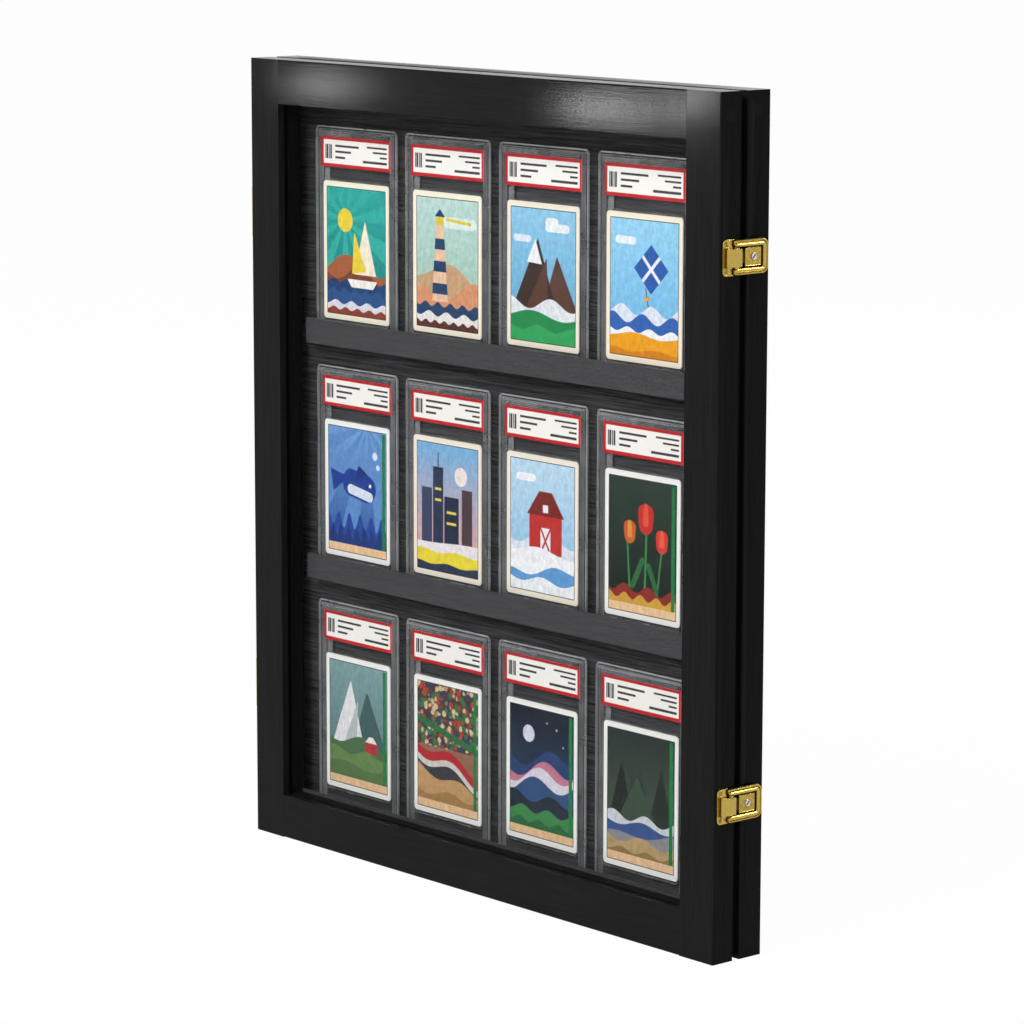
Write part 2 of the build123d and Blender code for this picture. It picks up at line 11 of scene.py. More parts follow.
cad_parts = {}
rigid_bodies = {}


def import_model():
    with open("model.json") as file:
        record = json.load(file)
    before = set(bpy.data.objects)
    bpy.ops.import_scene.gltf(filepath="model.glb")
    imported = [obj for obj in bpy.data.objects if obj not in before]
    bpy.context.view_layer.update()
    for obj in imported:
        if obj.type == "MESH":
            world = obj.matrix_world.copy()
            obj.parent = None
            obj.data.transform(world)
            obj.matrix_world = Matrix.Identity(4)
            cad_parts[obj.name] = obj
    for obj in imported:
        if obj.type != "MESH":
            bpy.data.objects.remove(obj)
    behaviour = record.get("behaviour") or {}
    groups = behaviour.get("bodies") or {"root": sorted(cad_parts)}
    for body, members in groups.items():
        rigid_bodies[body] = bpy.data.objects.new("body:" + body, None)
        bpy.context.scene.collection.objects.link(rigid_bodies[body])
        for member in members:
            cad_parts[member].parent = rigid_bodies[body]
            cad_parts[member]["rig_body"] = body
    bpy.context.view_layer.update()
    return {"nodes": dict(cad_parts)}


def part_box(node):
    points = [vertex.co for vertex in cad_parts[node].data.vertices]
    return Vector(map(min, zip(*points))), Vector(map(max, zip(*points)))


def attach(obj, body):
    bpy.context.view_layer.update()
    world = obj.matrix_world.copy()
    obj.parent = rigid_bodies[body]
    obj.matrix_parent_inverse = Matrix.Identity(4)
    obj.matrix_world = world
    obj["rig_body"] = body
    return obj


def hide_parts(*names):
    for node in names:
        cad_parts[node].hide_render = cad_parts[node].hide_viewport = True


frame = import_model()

bl_info = {
    "name": "Card Display Case",
    "version": (1, 0, 0),
    "blender": (4, 5, 0),
    "location": "View3D > Sidebar > Card Case",
    "description": "Builds the looks of a wall display case for graded trading cards",
    "category": "Object",
}

MM = 0.001
LEVELS = ("upper", "lower")
ROWS = (1, 2, 3)
COLUMNS = (1, 2, 3, 4)
NODES = frame["nodes"]


# ---- sizes and colours that a user would change ---------------------------------------------------
def length(name, description, millimetres):
    return FloatProperty(
        name=name, description=description, default=millimetres * MM, min=0.0, unit="LENGTH"
    )


def linear(code):
    """Linear red, green and blue of a colour written as on the screen, such as c8a850."""
    found = []
    for place in (0, 2, 4):
        share = int(code[place : place + 2], 16) / 255
        found.append(share / 12.92 if share <= 0.04045 else ((share + 0.055) / 1.055) ** 2.4)
    return found


def colour(name, description, code):
    return FloatVectorProperty(
        name=name,
        description=description,
        default=linear(code),
        size=3,
        min=0.0,
        max=1.0,
        subtype="COLOR",
    )


class CaseSizes(bpy.types.PropertyGroup):
    board_round: length("Board edge", "Rounding of the lacquered boards' edges", 0.5)
    ledge_round: length("Ledge edge", "Rounding of the ledges' edges", 0.35)
    metal_round: length("Metal edge", "Rounding of the stamped brass edges", 0.22)
    ring_width: length("Ring width", "Width of the ring's rolled bar and lip", 4.4)
    ring_corner: length("Ring corner", "Outer radius of the ring's far corners", 4.8)
    screw_slot: length("Screw slot", "Width of the slots in the small screws", 0.55)
    slab_flange: length("Slab flange", "Thickness of the flange round a slab", 1.2)
    slab_rim: length("Slab rim", "Width of the flange round a slab", 2.2)
    well_rib: length("Well rib", "Width of the rib round the card's well", 0.9)
    ridges: IntProperty(
        name="Ridges", description="Moulded ridges above each label", default=3, min=0, max=8
    )


class CaseColours(bpy.types.PropertyGroup):
    lacquer: colour("Lacquer", "Satin black lacquer on the boards", "1e1e1f")
    bead: colour("Bead", "Black stain on the pane's beads", "141414")
    panel_dark: colour("Panel, dark", "Hollows in the panel's grain", "222223")
    panel_light: colour("Panel, light", "Ribs in the panel's grain", "525254")
    ledge: colour("Ledge", "Worn face of the ledges", "464648")
    brass: colour("Brass", "Polished brass", "bfa654")
    # brass_shade is also the colour of the painted shade on the latch plate, tongue and hook, where it is dimmed to a
    # quarter.
    brass_shade: colour("Brass, aged", "Darker patches on the brass", "84692e")
    nickel: colour("Nickel", "Key cylinders", "d8d8da")
    zinc: colour("Zinc", "Hidden screws", "9a9c9e")
    plastic: colour("Slab plastic", "Milky edges of the clear slabs", "c9cdd0")
    label_edge: colour("Label edge", "Border of the slab labels", "bf1a22")
    paper: colour("Paper", "Blank paper of cards and labels", "f6f4ee")
    floor: colour("Floor", "Pale floor", "fafafa")


class StageSettings(bpy.types.PropertyGroup):
    camera_turn: FloatProperty(
        name="Turn", description="Camera to the right of straight on", default=math.radians(48.818), subtype="ANGLE"
    )
    camera_tilt: FloatProperty(
        name="Tilt", description="Camera looks down by this", default=math.radians(9.608), subtype="ANGLE"
    )
    camera_roll: FloatProperty(
        name="Roll", description="Camera roll", default=math.radians(0.101), subtype="ANGLE"
    )
    camera_lens: FloatProperty(
        name="Lens", description="Focal length in millimetres", default=143.918, min=10.0
    )
    camera_place: FloatVectorProperty(
        name="Place", description="Camera position", default=(1.89219, -1.65169, 0.66424), size=3, unit="LENGTH"
    )
    ambient: FloatProperty(
        name="Ambient", description="Soft light from all round", default=0.12, min=0.0
    )
    key: FloatProperty(name="Key", description="Power of the large front lamp, in watts", default=60.0, min=0.0)


def sizes():
    return bpy.context.scene.card_case_sizes


def colours():
    return bpy.context.scene.card_case_colours


def stage_settings():
    return bpy.context.scene.card_case_stage


# ---- modelling by hand ------------------------------------------------------------------------------
def start_clean():
    """Back to object mode with nothing selected."""
    if bpy.context.object and bpy.context.object.mode != "OBJECT":
        bpy.ops.object.mode_set(mode="OBJECT")
    bpy.ops.object.select_all(action="DESELECT")


def take(piece):
    """Makes a piece the only one selected, and active."""
    start_clean()
    piece.select_set(True)
    bpy.context.view_layer.objects.active = piece
    return piece


def settle(name):
    """Names the new primitive and moves its place into its mesh."""
    piece = bpy.context.object
    piece.name = name
    take(piece)
    bpy.ops.object.transform_apply(location=True, rotation=True, scale=True)
    return piece


def block(name, low, high):
    """A box between two corners, to be shaped further."""
    start_clean()
    low, high = Vector(low), Vector(high)
    bpy.ops.mesh.primitive_cube_add(size=1, location=(low + high) / 2, scale=high - low)
    return settle(name)


def rod(name, start, end, radius, sides=32):
    """A round bar between two points, to be shaped further."""
    start_clean()
    run = Vector(end) - Vector(start)
    bpy.ops.mesh.primitive_cylinder_add(
        vertices=sides,
        radius=radius,
        depth=run.length,
        location=(Vector(start) + Vector(end)) / 2,
        rotation=run.to_track_quat("Z", "Y").to_euler(),
    )
    return settle(name)


def pick_faces(piece, test):
    """Opens a piece with the faces selected whose middle and normal pass the test."""
    take(piece)
    mesh = piece.data
    for part in (mesh.vertices, mesh.edges, mesh.polygons):
        part.foreach_set("select", [False] * len(part))
    for face in mesh.polygons:
        face.select = bool(test(face.center, face.normal))
    bpy.context.tool_settings.mesh_select_mode = (False, False, True)
    bpy.ops.object.mode_set(mode="EDIT")


def pick_edges(piece, test):
    """Opens a piece with the edges selected whose middle and direction pass the test."""
    take(piece)
    mesh = piece.data
    for part in (mesh.vertices, mesh.edges, mesh.polygons):
        part.foreach_set("select", [False] * len(part))
    for edge in mesh.edges:
        a, b = (mesh.vertices[corner].co for corner in edge.vertices)
        edge.select = bool(test((a + b) / 2, (b - a).normalized()))
    bpy.context.tool_settings.mesh_select_mode = (False, True, False)
    bpy.ops.object.mode_set(mode="EDIT")


def close():
    bpy.ops.object.mode_set(mode="OBJECT")


def round_edges(piece, test, width, segments):
    pick_edges(piece, test)
    bpy.ops.mesh.bevel(offset=width, segments=segments, affect="EDGES")
    close()


def inset_faces(piece, test, width, depth=0.0):
    pick_faces(piece, test)
    bpy.ops.mesh.inset(thickness=width, depth=depth)
    close()


def ease(piece, width, segments=2):
    """Rounds every sharp edge a little and smooths the result."""
    take(piece)
    bevel = piece.modifiers.new("Eased edges", "BEVEL")
    bevel.width = width
    bevel.segments = segments
    bevel.limit_method = "ANGLE"
    bevel.angle_limit = math.radians(35)
    bevel.harden_normals = True
    bpy.ops.object.shade_smooth_by_angle(angle=math.radians(50))
    bpy.ops.object.modifier_apply(modifier=bevel.name)
    return piece


def cut(piece, tool):
    """Cuts a tool's shape out of a piece and removes the tool."""
    take(piece)
    hole = piece.modifiers.new("Cut", "BOOLEAN")
    hole.operation = "DIFFERENCE"
    hole.object = tool
    bpy.ops.object.modifier_apply(modifier=hole.name)
    bpy.data.objects.remove(tool)
    return piece


def join(first, *others):
    take(first)
    for other in others:
        other.select_set(True)
    bpy.ops.object.join()
    return first


def copy_of(piece, name, move=(0, 0, 0)):
    """A copy with its own mesh, with its move in the mesh."""
    take(piece)
    bpy.ops.object.duplicate()
    bpy.ops.transform.translate(value=tuple(move))
    return settle(name)


def paint(piece, test, place):
    """Gives the faces that pass the test the material in a slot."""
    pick_faces(piece, test)
    piece.active_material_index = place
    bpy.ops.object.material_slot_assign()
    close()


def dress(piece, body, slot, nodes, *materials):
    """Gives a finished piece its materials, the body that it rides on and the nodes that it stands for."""
    if materials:
        piece.data.materials.clear()
        for material in materials:
            piece.data.materials.append(material)
    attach(piece, body)
    if nodes:
        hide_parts(*nodes)
    return piece


def eased_copy(node, width, material, slot, segments=2):
    """Stands a copy with rounded edges in for a node whose solid has sharp ones."""
    source = NODES[node]
    body = source["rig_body"]
    take(source)
    bpy.ops.object.duplicate()
    piece = bpy.context.object
    bpy.ops.object.parent_clear(type="CLEAR_KEEP_TRANSFORM")
    for key in list(piece.keys()):
        del piece[key]
    piece.name = node + "_eased"
    bpy.ops.object.mode_set(mode="EDIT")
    bpy.ops.mesh.select_all(action="SELECT")
    bpy.ops.mesh.remove_doubles(threshold=0.002 * MM)
    bpy.ops.mesh.dissolve_limited(angle_limit=math.radians(0.5))
    close()
    ease(piece, width, segments)
    return dress(piece, body, slot, [node], material)


# ---- nodes and effects ------------------------------------------------------------------------------
def wire(tree, kind, inputs=None, **settings):
    """Adds a node, sets it up and feeds its sockets with values or other nodes' outputs."""
    node = tree.nodes.new(kind)
    for name, value in settings.items():
        setattr(node, name, value)
    for name, value in (inputs or {}).items():
        if isinstance(value, bpy.types.NodeSocket):
            tree.links.new(value, node.inputs[name])
        else:
            node.inputs[name].default_value = value
    return node


def reckon(tree, operation, *values, clamp=False):
    """The result of one Math node."""
    return wire(
        tree, "ShaderNodeMath", dict(enumerate(values)), operation=operation, use_clamp=clamp
    ).outputs[0]


def reckon_places(tree, operation, *values):
    """The result of one Vector Math node."""
    return wire(
        tree, "ShaderNodeVectorMath", dict(enumerate(values)), operation=operation
    ).outputs[0]


def ramp(tree, value, low, high, out_low=0.0, out_high=1.0):
    return wire(
        tree,
        "ShaderNodeMapRange",
        {"Value": value, "From Min": low, "From Max": high, "To Min": out_low, "To Max": out_high},
    ).outputs[0]


def blend(tree, share, first, second):
    """Mixes two colours."""
    node = wire(tree, "ShaderNodeMix", data_type="RGBA")
    for socket, value in zip(
        [node.inputs["Factor"]] + [s for s in node.inputs if s.name in "AB" and s.type == "RGBA"],
        (share, first, second),
    ):
        if isinstance(value, bpy.types.NodeSocket):
            tree.links.new(value, socket)
        elif socket.type == "RGBA":
            socket.default_value = (*value, 1.0)
        else:
            socket.default_value = value
    return [s for s in node.outputs if s.type == "RGBA"][0]


def noise(tree, place, scale, detail=2.0, rough=0.5):
    return wire(
        tree,
        "ShaderNodeTexNoise",
        {"Vector": place, "Scale": scale, "Detail": detail, "Roughness": rough},
    ).outputs["Fac"]


def stretched(tree, place, scale):
    """Places scaled by different amounts along X, Y and Z."""
    return wire(tree, "ShaderNodeMapping", {"Vector": place, "Scale": scale}).outputs[0]


SOCKETS = {"value": "NodeSocketFloat", "colour": "NodeSocketColor", "places": "NodeSocketVector"}


def effect(name, takes, gives, build):
    """Makes a shader node group once; build gets its tree and inputs and returns its outputs."""
    tree = bpy.data.node_groups.get(name)
    if tree:
        return tree
    tree = bpy.data.node_groups.new(name, "ShaderNodeTree")
    for label, kind, value in takes:
        socket = tree.interface.new_socket(
            name=label, in_out="INPUT", socket_type=SOCKETS[kind]
        )
        if value is not None:
            socket.default_value = value
    for label, kind in gives:
        tree.interface.new_socket(name=label, in_out="OUTPUT", socket_type=SOCKETS[kind])
    entry = tree.nodes.new("NodeGroupInput")
    leave = tree.nodes.new("NodeGroupOutput")
    results = build(tree, entry.outputs)
    for (label, _), result in zip(gives, results):
        tree.links.new(result, leave.inputs[label])
    return tree


def use(tree, group, inputs=None):
    """Adds an effect to a material or to another effect."""
    node = tree.nodes.new("ShaderNodeGroup")
    node.node_tree = group
    for name, value in (inputs or {}).items():
        if isinstance(value, bpy.types.NodeSocket):
            tree.links.new(value, node.inputs[name])
        else:
            node.inputs[name].default_value = value
    return node.outputs


def orange_peel():
    """The fine dimples of a sprayed lacquer, with a slow drift in gloss."""

    def build(tree, takes):
        fine = noise(tree, takes["Place"], 620.0, 3.0, 0.6)
        broad = noise(tree, takes["Place"], 90.0, 2.0)
        height = reckon(tree, "ADD", fine, reckon(tree, "MULTIPLY", broad, 0.5))
        drift = noise(tree, takes["Place"], 14.0, 3.0)
        return height, reckon(tree, "ADD", reckon(tree, "MULTIPLY", drift, 0.5), reckon(tree, "MULTIPLY", fine, 0.5))

    return effect(
        "Orange peel",
        [("Place", "places", None)],
        [("Height", "value"), ("Gloss drift", "value")],
        build,
    )


def wood_grain():
    """Long pores along one direction; the place is stretched before it comes in."""

    def build(tree, takes):
        bent = noise(tree, takes["Place"], 0.35, 2.0)
        shifted = reckon_places(
            tree, "ADD", takes["Place"], wire(tree, "ShaderNodeCombineXYZ", {"Y": bent, "Z": bent}).outputs[0]
        )
        pores = noise(tree, shifted, 1.0, 5.0, 0.65)
        sharp = ramp(tree, pores, 0.38, 0.68)
        broad = noise(tree, shifted, 0.16, 2.0)
        height = reckon(tree, "ADD", sharp, reckon(tree, "MULTIPLY", broad, 0.4))
        return sharp, height

    return effect(
        "Wood grain",
        [("Place", "places", None)],
        [("Ribs", "value"), ("Height", "value")],
        build,
    )


def metal_wear():
    """Slow stains, fine scratches and pitting on handled metal."""

    def build(tree, takes):
        stains = ramp(tree, noise(tree, takes["Place"], 700.0, 5.0, 0.7), 0.4, 0.66)
        long = stretched(tree, takes["Place"], (900.0, 160.0, 2600.0))
        scratches = ramp(tree, noise(tree, long, 1.0, 3.0, 0.6), 0.55, 0.72)
        pits = noise(tree, takes["Place"], 1500.0, 2.0)
        height = reckon(tree, "SUBTRACT", reckon(tree, "MULTIPLY", pits, 0.4), reckon(tree, "MULTIPLY", scratches, 0.3))
        return stains, scratches, height

    return effect(
        "Metal wear",
        [("Place", "places", None)],
        [("Stains", "value"), ("Scratches", "value"), ("Height", "value")],
        build,
    )


def print_shape():
    """A mask of one printed shape: a box with round corners that may turn and narrow upwards."""

    def build(tree, takes):
        moved = reckon_places(tree, "SUBTRACT", takes["Place"], takes["Centre"])
        turned = wire(
            tree,
            "ShaderNodeVectorRotate",
            {"Vector": moved, "Angle": takes["Turn"]},
            rotation_type="Y_AXIS",
        ).outputs[0]
        parts = wire(tree, "ShaderNodeSeparateXYZ", {0: turned}).outputs
        size = wire(tree, "ShaderNodeSeparateXYZ", {0: takes["Half size"]}).outputs
        wide = reckon(
            tree, "ADD", reckon(tree, "ABSOLUTE", parts["X"]), reckon(tree, "MULTIPLY", parts["Z"], takes["Taper"])
        )
        across = reckon(tree, "SUBTRACT", wide, reckon(tree, "SUBTRACT", size["X"], takes["Round"]))
        along = reckon(
            tree,
            "SUBTRACT",
            reckon(tree, "ABSOLUTE", parts["Z"]),
            reckon(tree, "SUBTRACT", size["Z"], takes["Round"]),
        )
        a, b = (reckon(tree, "MAXIMUM", side, 0.0) for side in (across, along))
        outside = reckon(
            tree, "SQRT", reckon(tree, "ADD", reckon(tree, "MULTIPLY", a, a), reckon(tree, "MULTIPLY", b, b))
        )
        inside = reckon(tree, "MINIMUM", reckon(tree, "MAXIMUM", across, along), 0.0)
        edge = reckon(tree, "SUBTRACT", reckon(tree, "ADD", outside, inside), takes["Round"])
        return (ramp(tree, edge, 0.12, -0.12),)

    return effect(
        "Print shape",
        [
            ("Place", "places", None),
            ("Centre", "places", None),
            ("Half size", "places", None),
            ("Round", "value", 0.0),
            ("Turn", "value", 0.0),
            ("Taper", "value", 0.0),
        ],
        [("Mask", "value")],
        build,
    )


def ink_grain():
    """Brush-like shading and the fine grain of printed ink, as one factor near 1."""

    def build(tree, takes):
        strokes = noise(tree, stretched(tree, takes["Place"], (0.3, 0.3, 0.22)), 1.0, 5.0, 0.7)
        speck = noise(tree, takes["Place"], 2.6, 2.0)
        factor = reckon(tree, "ADD", ramp(tree, strokes, 0.3, 0.7, 0.78, 1.14), ramp(tree, speck, 0.3, 0.7, -0.08, 0.08))
        return (factor,)

    return effect(
        "Ink grain", [("Place", "places", None)], [("Shade", "value")], build
    )


def shape_mask(tree, place, centre, half, rounding=0.0, turn=0.0, taper=0.0):
    return use(
        tree,
        print_shape(),
        {
            "Place": place,
            "Centre": (centre[0], 0.0, centre[1]),
            "Half size": (half[0], 0.0, half[1]),
            "Round": rounding,
            "Turn": math.radians(turn),
            "Taper": taper,
        },
    )["Mask"]


def wave_mask(tree, place, level, height, length, shift, slope):
    return use(
        tree,
        print_wave(),
        {
            "Place": place,
            "Level": float(level),
            "Height": float(height),
            "Length": float(length),
            "Shift": float(shift),
            "Slope": float(slope),
        },
    )["Mask"]


def print_wave():
    """A mask of all that lies below a wavy line."""

    def build(tree, takes):
        parts = wire(tree, "ShaderNodeSeparateXYZ", {0: takes["Place"]}).outputs
        run = reckon(tree, "DIVIDE", reckon(tree, "ADD", parts["X"], takes["Shift"]), takes["Length"])
        wave = reckon(tree, "SINE", reckon(tree, "MULTIPLY", run, math.tau))
        line = reckon(
            tree,
            "ADD",
            reckon(tree, "MULTIPLY", wave, takes["Height"]),
            reckon(tree, "MULTIPLY", parts["X"], takes["Slope"]),
        )
        above = reckon(tree, "SUBTRACT", parts["Z"], reckon(tree, "ADD", line, takes["Level"]))
        return (ramp(tree, above, 0.15, -0.15),)

    return effect(
        "Print wave",
        [("Place", "places", None)]
        + [(name, "value", 0.0) for name in ("Level", "Height", "Length", "Shift", "Slope")],
        [("Mask", "value")],
        build,
    )


def print_rays():
    """A mask of rays that spread from a point."""

    def build(tree, takes):
        moved = reckon_places(tree, "SUBTRACT", takes["Place"], takes["Centre"])
        parts = wire(tree, "ShaderNodeSeparateXYZ", {0: moved}).outputs
        turn = reckon(tree, "ARCTAN2", parts["Z"], parts["X"])
        swing = reckon(tree, "SINE", reckon(tree, "MULTIPLY", turn, takes["Count"]))
        return (ramp(tree, swing, -0.06, 0.06),)

    return effect(
        "Print rays",
        [("Place", "places", None), ("Centre", "places", None), ("Count", "value", 8.0)],
        [("Mask", "value")],
        build,
    )


def mosaic():
    """Small stones in mixed warm, green, pale and dark colours."""

    def build(tree, takes):
        size = reckon(tree, "DIVIDE", 1.0, takes["Size"])
        cells = wire(tree, "ShaderNodeTexVoronoi", {"Vector": takes["Place"], "Scale": size})
        dice = wire(tree, "ShaderNodeSeparateColor", {0: cells.outputs["Color"]}).outputs
        stones = blend(tree, ramp(tree, dice[0], 0.45, 0.5), linear("b0432f"), linear("d8c09a"))
        stones = blend(tree, ramp(tree, dice[1], 0.72, 0.76), stones, linear("3f7048"))
        stones = blend(tree, ramp(tree, dice[2], 0.74, 0.78), stones, linear("34425e"))
        seam = ramp(tree, cells.outputs["Distance"], 0.5, 0.75)
        return (blend(tree, seam, stones, linear("4a3830")),)

    return effect(
        "Mosaic",
        [("Place", "places", None), ("Size", "value", 3.0)],
        [("Colour", "colour")],
        build,
    )


# Plain bars on a label: middle across, middle up, half width, half height, in millimetres.
LABEL_BARS = (
    (-30.6, 0.0, 0.5, 4.6),
    (-28.9, 0.0, 0.9, 4.6),
    (-26.9, 0.0, 0.45, 4.6),
    (-25.2, 0.0, 0.8, 4.6),
    (-9.0, 3.9, 12.0, 0.7),
    (-13.0, 0.2, 8.0, 0.7),
    (-16.0, -3.5, 5.0, 0.7),
    (21.0, 4.6, 10.0, 0.6),
    (24.0, 1.6, 7.0, 0.6),
    (27.5, -1.4, 3.5, 0.6),
    (19.0, -4.8, 12.0, 0.8),
)


def label_print():
    """A slab's label: a red border round white, with a few plain bars."""

    def build(tree, takes):
        place = takes["Place"]
        inner = shape_mask(tree, place, (0, 0), (32.7, 7.6))
        bars = None
        for x, z, w, h in LABEL_BARS:
            bar = shape_mask(tree, place, (x, z), (w, h), 0.3)
            bars = bar if bars is None else reckon(tree, "MAXIMUM", bars, bar)
        worn = ramp(tree, noise(tree, place, 1.8, 2.0), 0.3, 0.7, 0.93, 1.0)
        face = blend(tree, reckon(tree, "MULTIPLY", bars, worn), takes["Paper"], linear("1c1c20"))
        return (blend(tree, inner, takes["Border"], face),)

    return effect(
        "Label print",
        [("Place", "places", None), ("Paper", "colour", None), ("Border", "colour", None)],
        [("Colour", "colour")],
        build,
    )


# ---- materials --------------------------------------------------------------------------------------
def surface(name, **constants):
    """A new material: its tree, its shader and the object's own places."""
    material = bpy.data.materials.new(name)
    material.use_nodes = True
    tree = material.node_tree
    shader = tree.nodes["Principled BSDF"]
    for socket, value in constants.items():
        shader.inputs[socket.replace("_", " ")].default_value = value
    place = tree.nodes.new("ShaderNodeTexCoord").outputs["Object"]
    return material, tree, shader, place


def feed(tree, shader, **sockets):
    for name, value in sockets.items():
        tree.links.new(value, shader.inputs[name.replace("_", " ")])


def bump(tree, height, distance, strength=1.0):
    return wire(
        tree,
        "ShaderNodeBump",
        {"Height": height, "Distance": distance, "Strength": strength},
    ).outputs[0]


def shade(tree, base, factor):
    """A colour made darker or lighter by a factor."""
    grey = wire(tree, "ShaderNodeCombineColor", {0: factor, 1: factor, 2: factor}).outputs[0]
    node = wire(tree, "ShaderNodeMix", {"Factor": 1.0}, data_type="RGBA", blend_type="MULTIPLY")
    pair = [s for s in node.inputs if s.name in "AB" and s.type == "RGBA"]
    if isinstance(base, bpy.types.NodeSocket):
        tree.links.new(base, pair[0])
    else:
        pair[0].default_value = (*base, 1.0)
    tree.links.new(grey, pair[1])
    return [s for s in node.outputs if s.type == "RGBA"][0]


def lacquer(name, base, grain, roughness=0.17):
    """Sprayed black lacquer over grained wood; grain gives the stretch along X, Y and Z."""
    found = bpy.data.materials.get(name)
    if found:
        return found
    material, tree, shader, place = surface(name, IOR=1.11)
    peel = use(tree, orange_peel(), {"Place": place})
    wood = use(tree, wood_grain(), {"Place": stretched(tree, place, grain)})
    tone = reckon(tree, "ADD", ramp(tree, wood["Ribs"], 0, 1, 0.75, 1.15), ramp(tree, peel["Gloss drift"], 0.3, 0.7, -0.1, 0.1))
    height = reckon(tree, "ADD", reckon(tree, "MULTIPLY", peel["Height"], 0.7), reckon(tree, "MULTIPLY", wood["Height"], 0.45))
    feed(
        tree,
        shader,
        Base_Color=shade(tree, base, tone),
        Roughness=ramp(tree, peel["Gloss drift"], 0.3, 0.7, roughness - 0.04, roughness + 0.06),
        Normal=bump(tree, height, 0.045 * MM),
    )
    return material


ALONG_X = (26.0, 900.0, 900.0)
ALONG_Z = (900.0, 900.0, 26.0)


def brass(name="brass_polished", aged=0.35, roughness=0.15, dimmed=1.0):
    """Yellow brass with stains, fine scratches and pitting."""
    found = bpy.data.materials.get(name)
    if found:
        return found
    material, tree, shader, place = surface(name, Metallic=1.0)
    wear = use(tree, metal_wear(), {"Place": place})
    # dimmed darkens the whole colour; at a quarter it makes the painted shade on the latch plate.
    clean, stained = (tuple(part * dimmed for part in tone) for tone in (colours().brass, colours().brass_shade))
    base = blend(tree, reckon(tree, "MULTIPLY", wear["Stains"], aged), clean, stained)
    feed(
        tree,
        shader,
        Base_Color=base,
        Roughness=reckon(
            tree,
            "ADD",
            ramp(tree, wear["Stains"], 0, 1, roughness, roughness + 0.16),
            reckon(tree, "MULTIPLY", wear["Scratches"], 0.1),
        ),
        Normal=bump(tree, wear["Height"], 0.015 * MM),
    )
    return material


def white_metal(name, base, roughness):
    found = bpy.data.materials.get(name)
    if found:
        return found
    material, tree, shader, place = surface(name, Metallic=1.0)
    wear = use(tree, metal_wear(), {"Place": place})
    feed(
        tree,
        shader,
        Base_Color=shade(tree, base, ramp(tree, wear["Stains"], 0, 1, 1.0, 0.7)),
        Roughness=reckon(
            tree,
            "ADD",
            ramp(tree, wear["Stains"], 0, 1, roughness, roughness + 0.15),
            reckon(tree, "MULTIPLY", wear["Scratches"], 0.12),
        ),
        Normal=bump(tree, wear["Height"], 0.02 * MM),
    )
    return material


def grained_panel():
    """Black-stained open grain that runs across the case, with paler ribs."""
    material, tree, shader, place = surface("panel_grain", IOR=1.09)
    wood = use(tree, wood_grain(), {"Place": stretched(tree, place, (26.0, 700.0, 1150.0))})
    patches = noise(tree, stretched(tree, place, (9.0, 9.0, 22.0)), 1.0, 3.0)
    mix = reckon(tree, "MULTIPLY", wood["Ribs"], ramp(tree, patches, 0.35, 0.65, 0.55, 1.0))
    feed(
        tree,
        shader,
        Base_Color=blend(tree, mix, colours().panel_dark, colours().panel_light),
        Roughness=ramp(tree, wood["Ribs"], 0, 1, 0.55, 0.36),
        Normal=bump(tree, wood["Height"], 0.22 * MM),
    )
    return material


def ledge_finish():
    """Rubbed satin black on the ledges, paler and speckled."""
    material, tree, shader, place = surface("ledge_satin", IOR=1.12)
    speck = noise(tree, place, 800.0, 4.0, 0.7)
    wood = use(tree, wood_grain(), {"Place": stretched(tree, place, (60.0, 800.0, 800.0))})
    tone = reckon(tree, "ADD", ramp(tree, speck, 0.35, 0.65, 0.55, 1.2), reckon(tree, "MULTIPLY", wood["Ribs"], 0.25))
    feed(
        tree,
        shader,
        Base_Color=shade(tree, colours().ledge, tone),
        Roughness=ramp(tree, speck, 0.3, 0.7, 0.35, 0.6),
        Normal=bump(tree, reckon(tree, "ADD", speck, wood["Height"]), 0.1 * MM),
    )
    return material


def clear(name, ior, film, gloss_roughness, tint):
    """Clear plastic: see-through, with a thin milky film and a reflection that grows at the edges.
    Film is the lowest and highest share of the film."""
    material = bpy.data.materials.new(name)
    material.use_nodes = True
    tree = material.node_tree
    shader = tree.nodes["Principled BSDF"]
    shader.inputs["Base Color"].default_value = (*tint, 1.0)
    place = tree.nodes.new("ShaderNodeTexCoord").outputs["Object"]
    drift = noise(tree, place, 60.0, 3.0)
    tree.links.new(ramp(tree, drift, 0.3, 0.7, 0.3, 0.5), shader.inputs["Roughness"])
    through = tree.nodes.new("ShaderNodeBsdfTransparent")
    gloss = tree.nodes.new("ShaderNodeBsdfGlossy")
    tree.links.new(ramp(tree, drift, 0.3, 0.7, gloss_roughness, gloss_roughness * 1.6), gloss.inputs["Roughness"])
    milky = wire(
        tree,
        "ShaderNodeMixShader",
        {0: ramp(tree, drift, 0.3, 0.7, *film), 1: through.outputs[0], 2: shader.outputs[0]},
    )
    edge = wire(tree, "ShaderNodeFresnel", {"IOR": ior})
    last = wire(
        tree, "ShaderNodeMixShader", {0: edge.outputs[0], 1: milky.outputs[0], 2: gloss.outputs[0]}
    )
    tree.links.new(last.outputs[0], tree.nodes["Material Output"].inputs["Surface"])
    return material


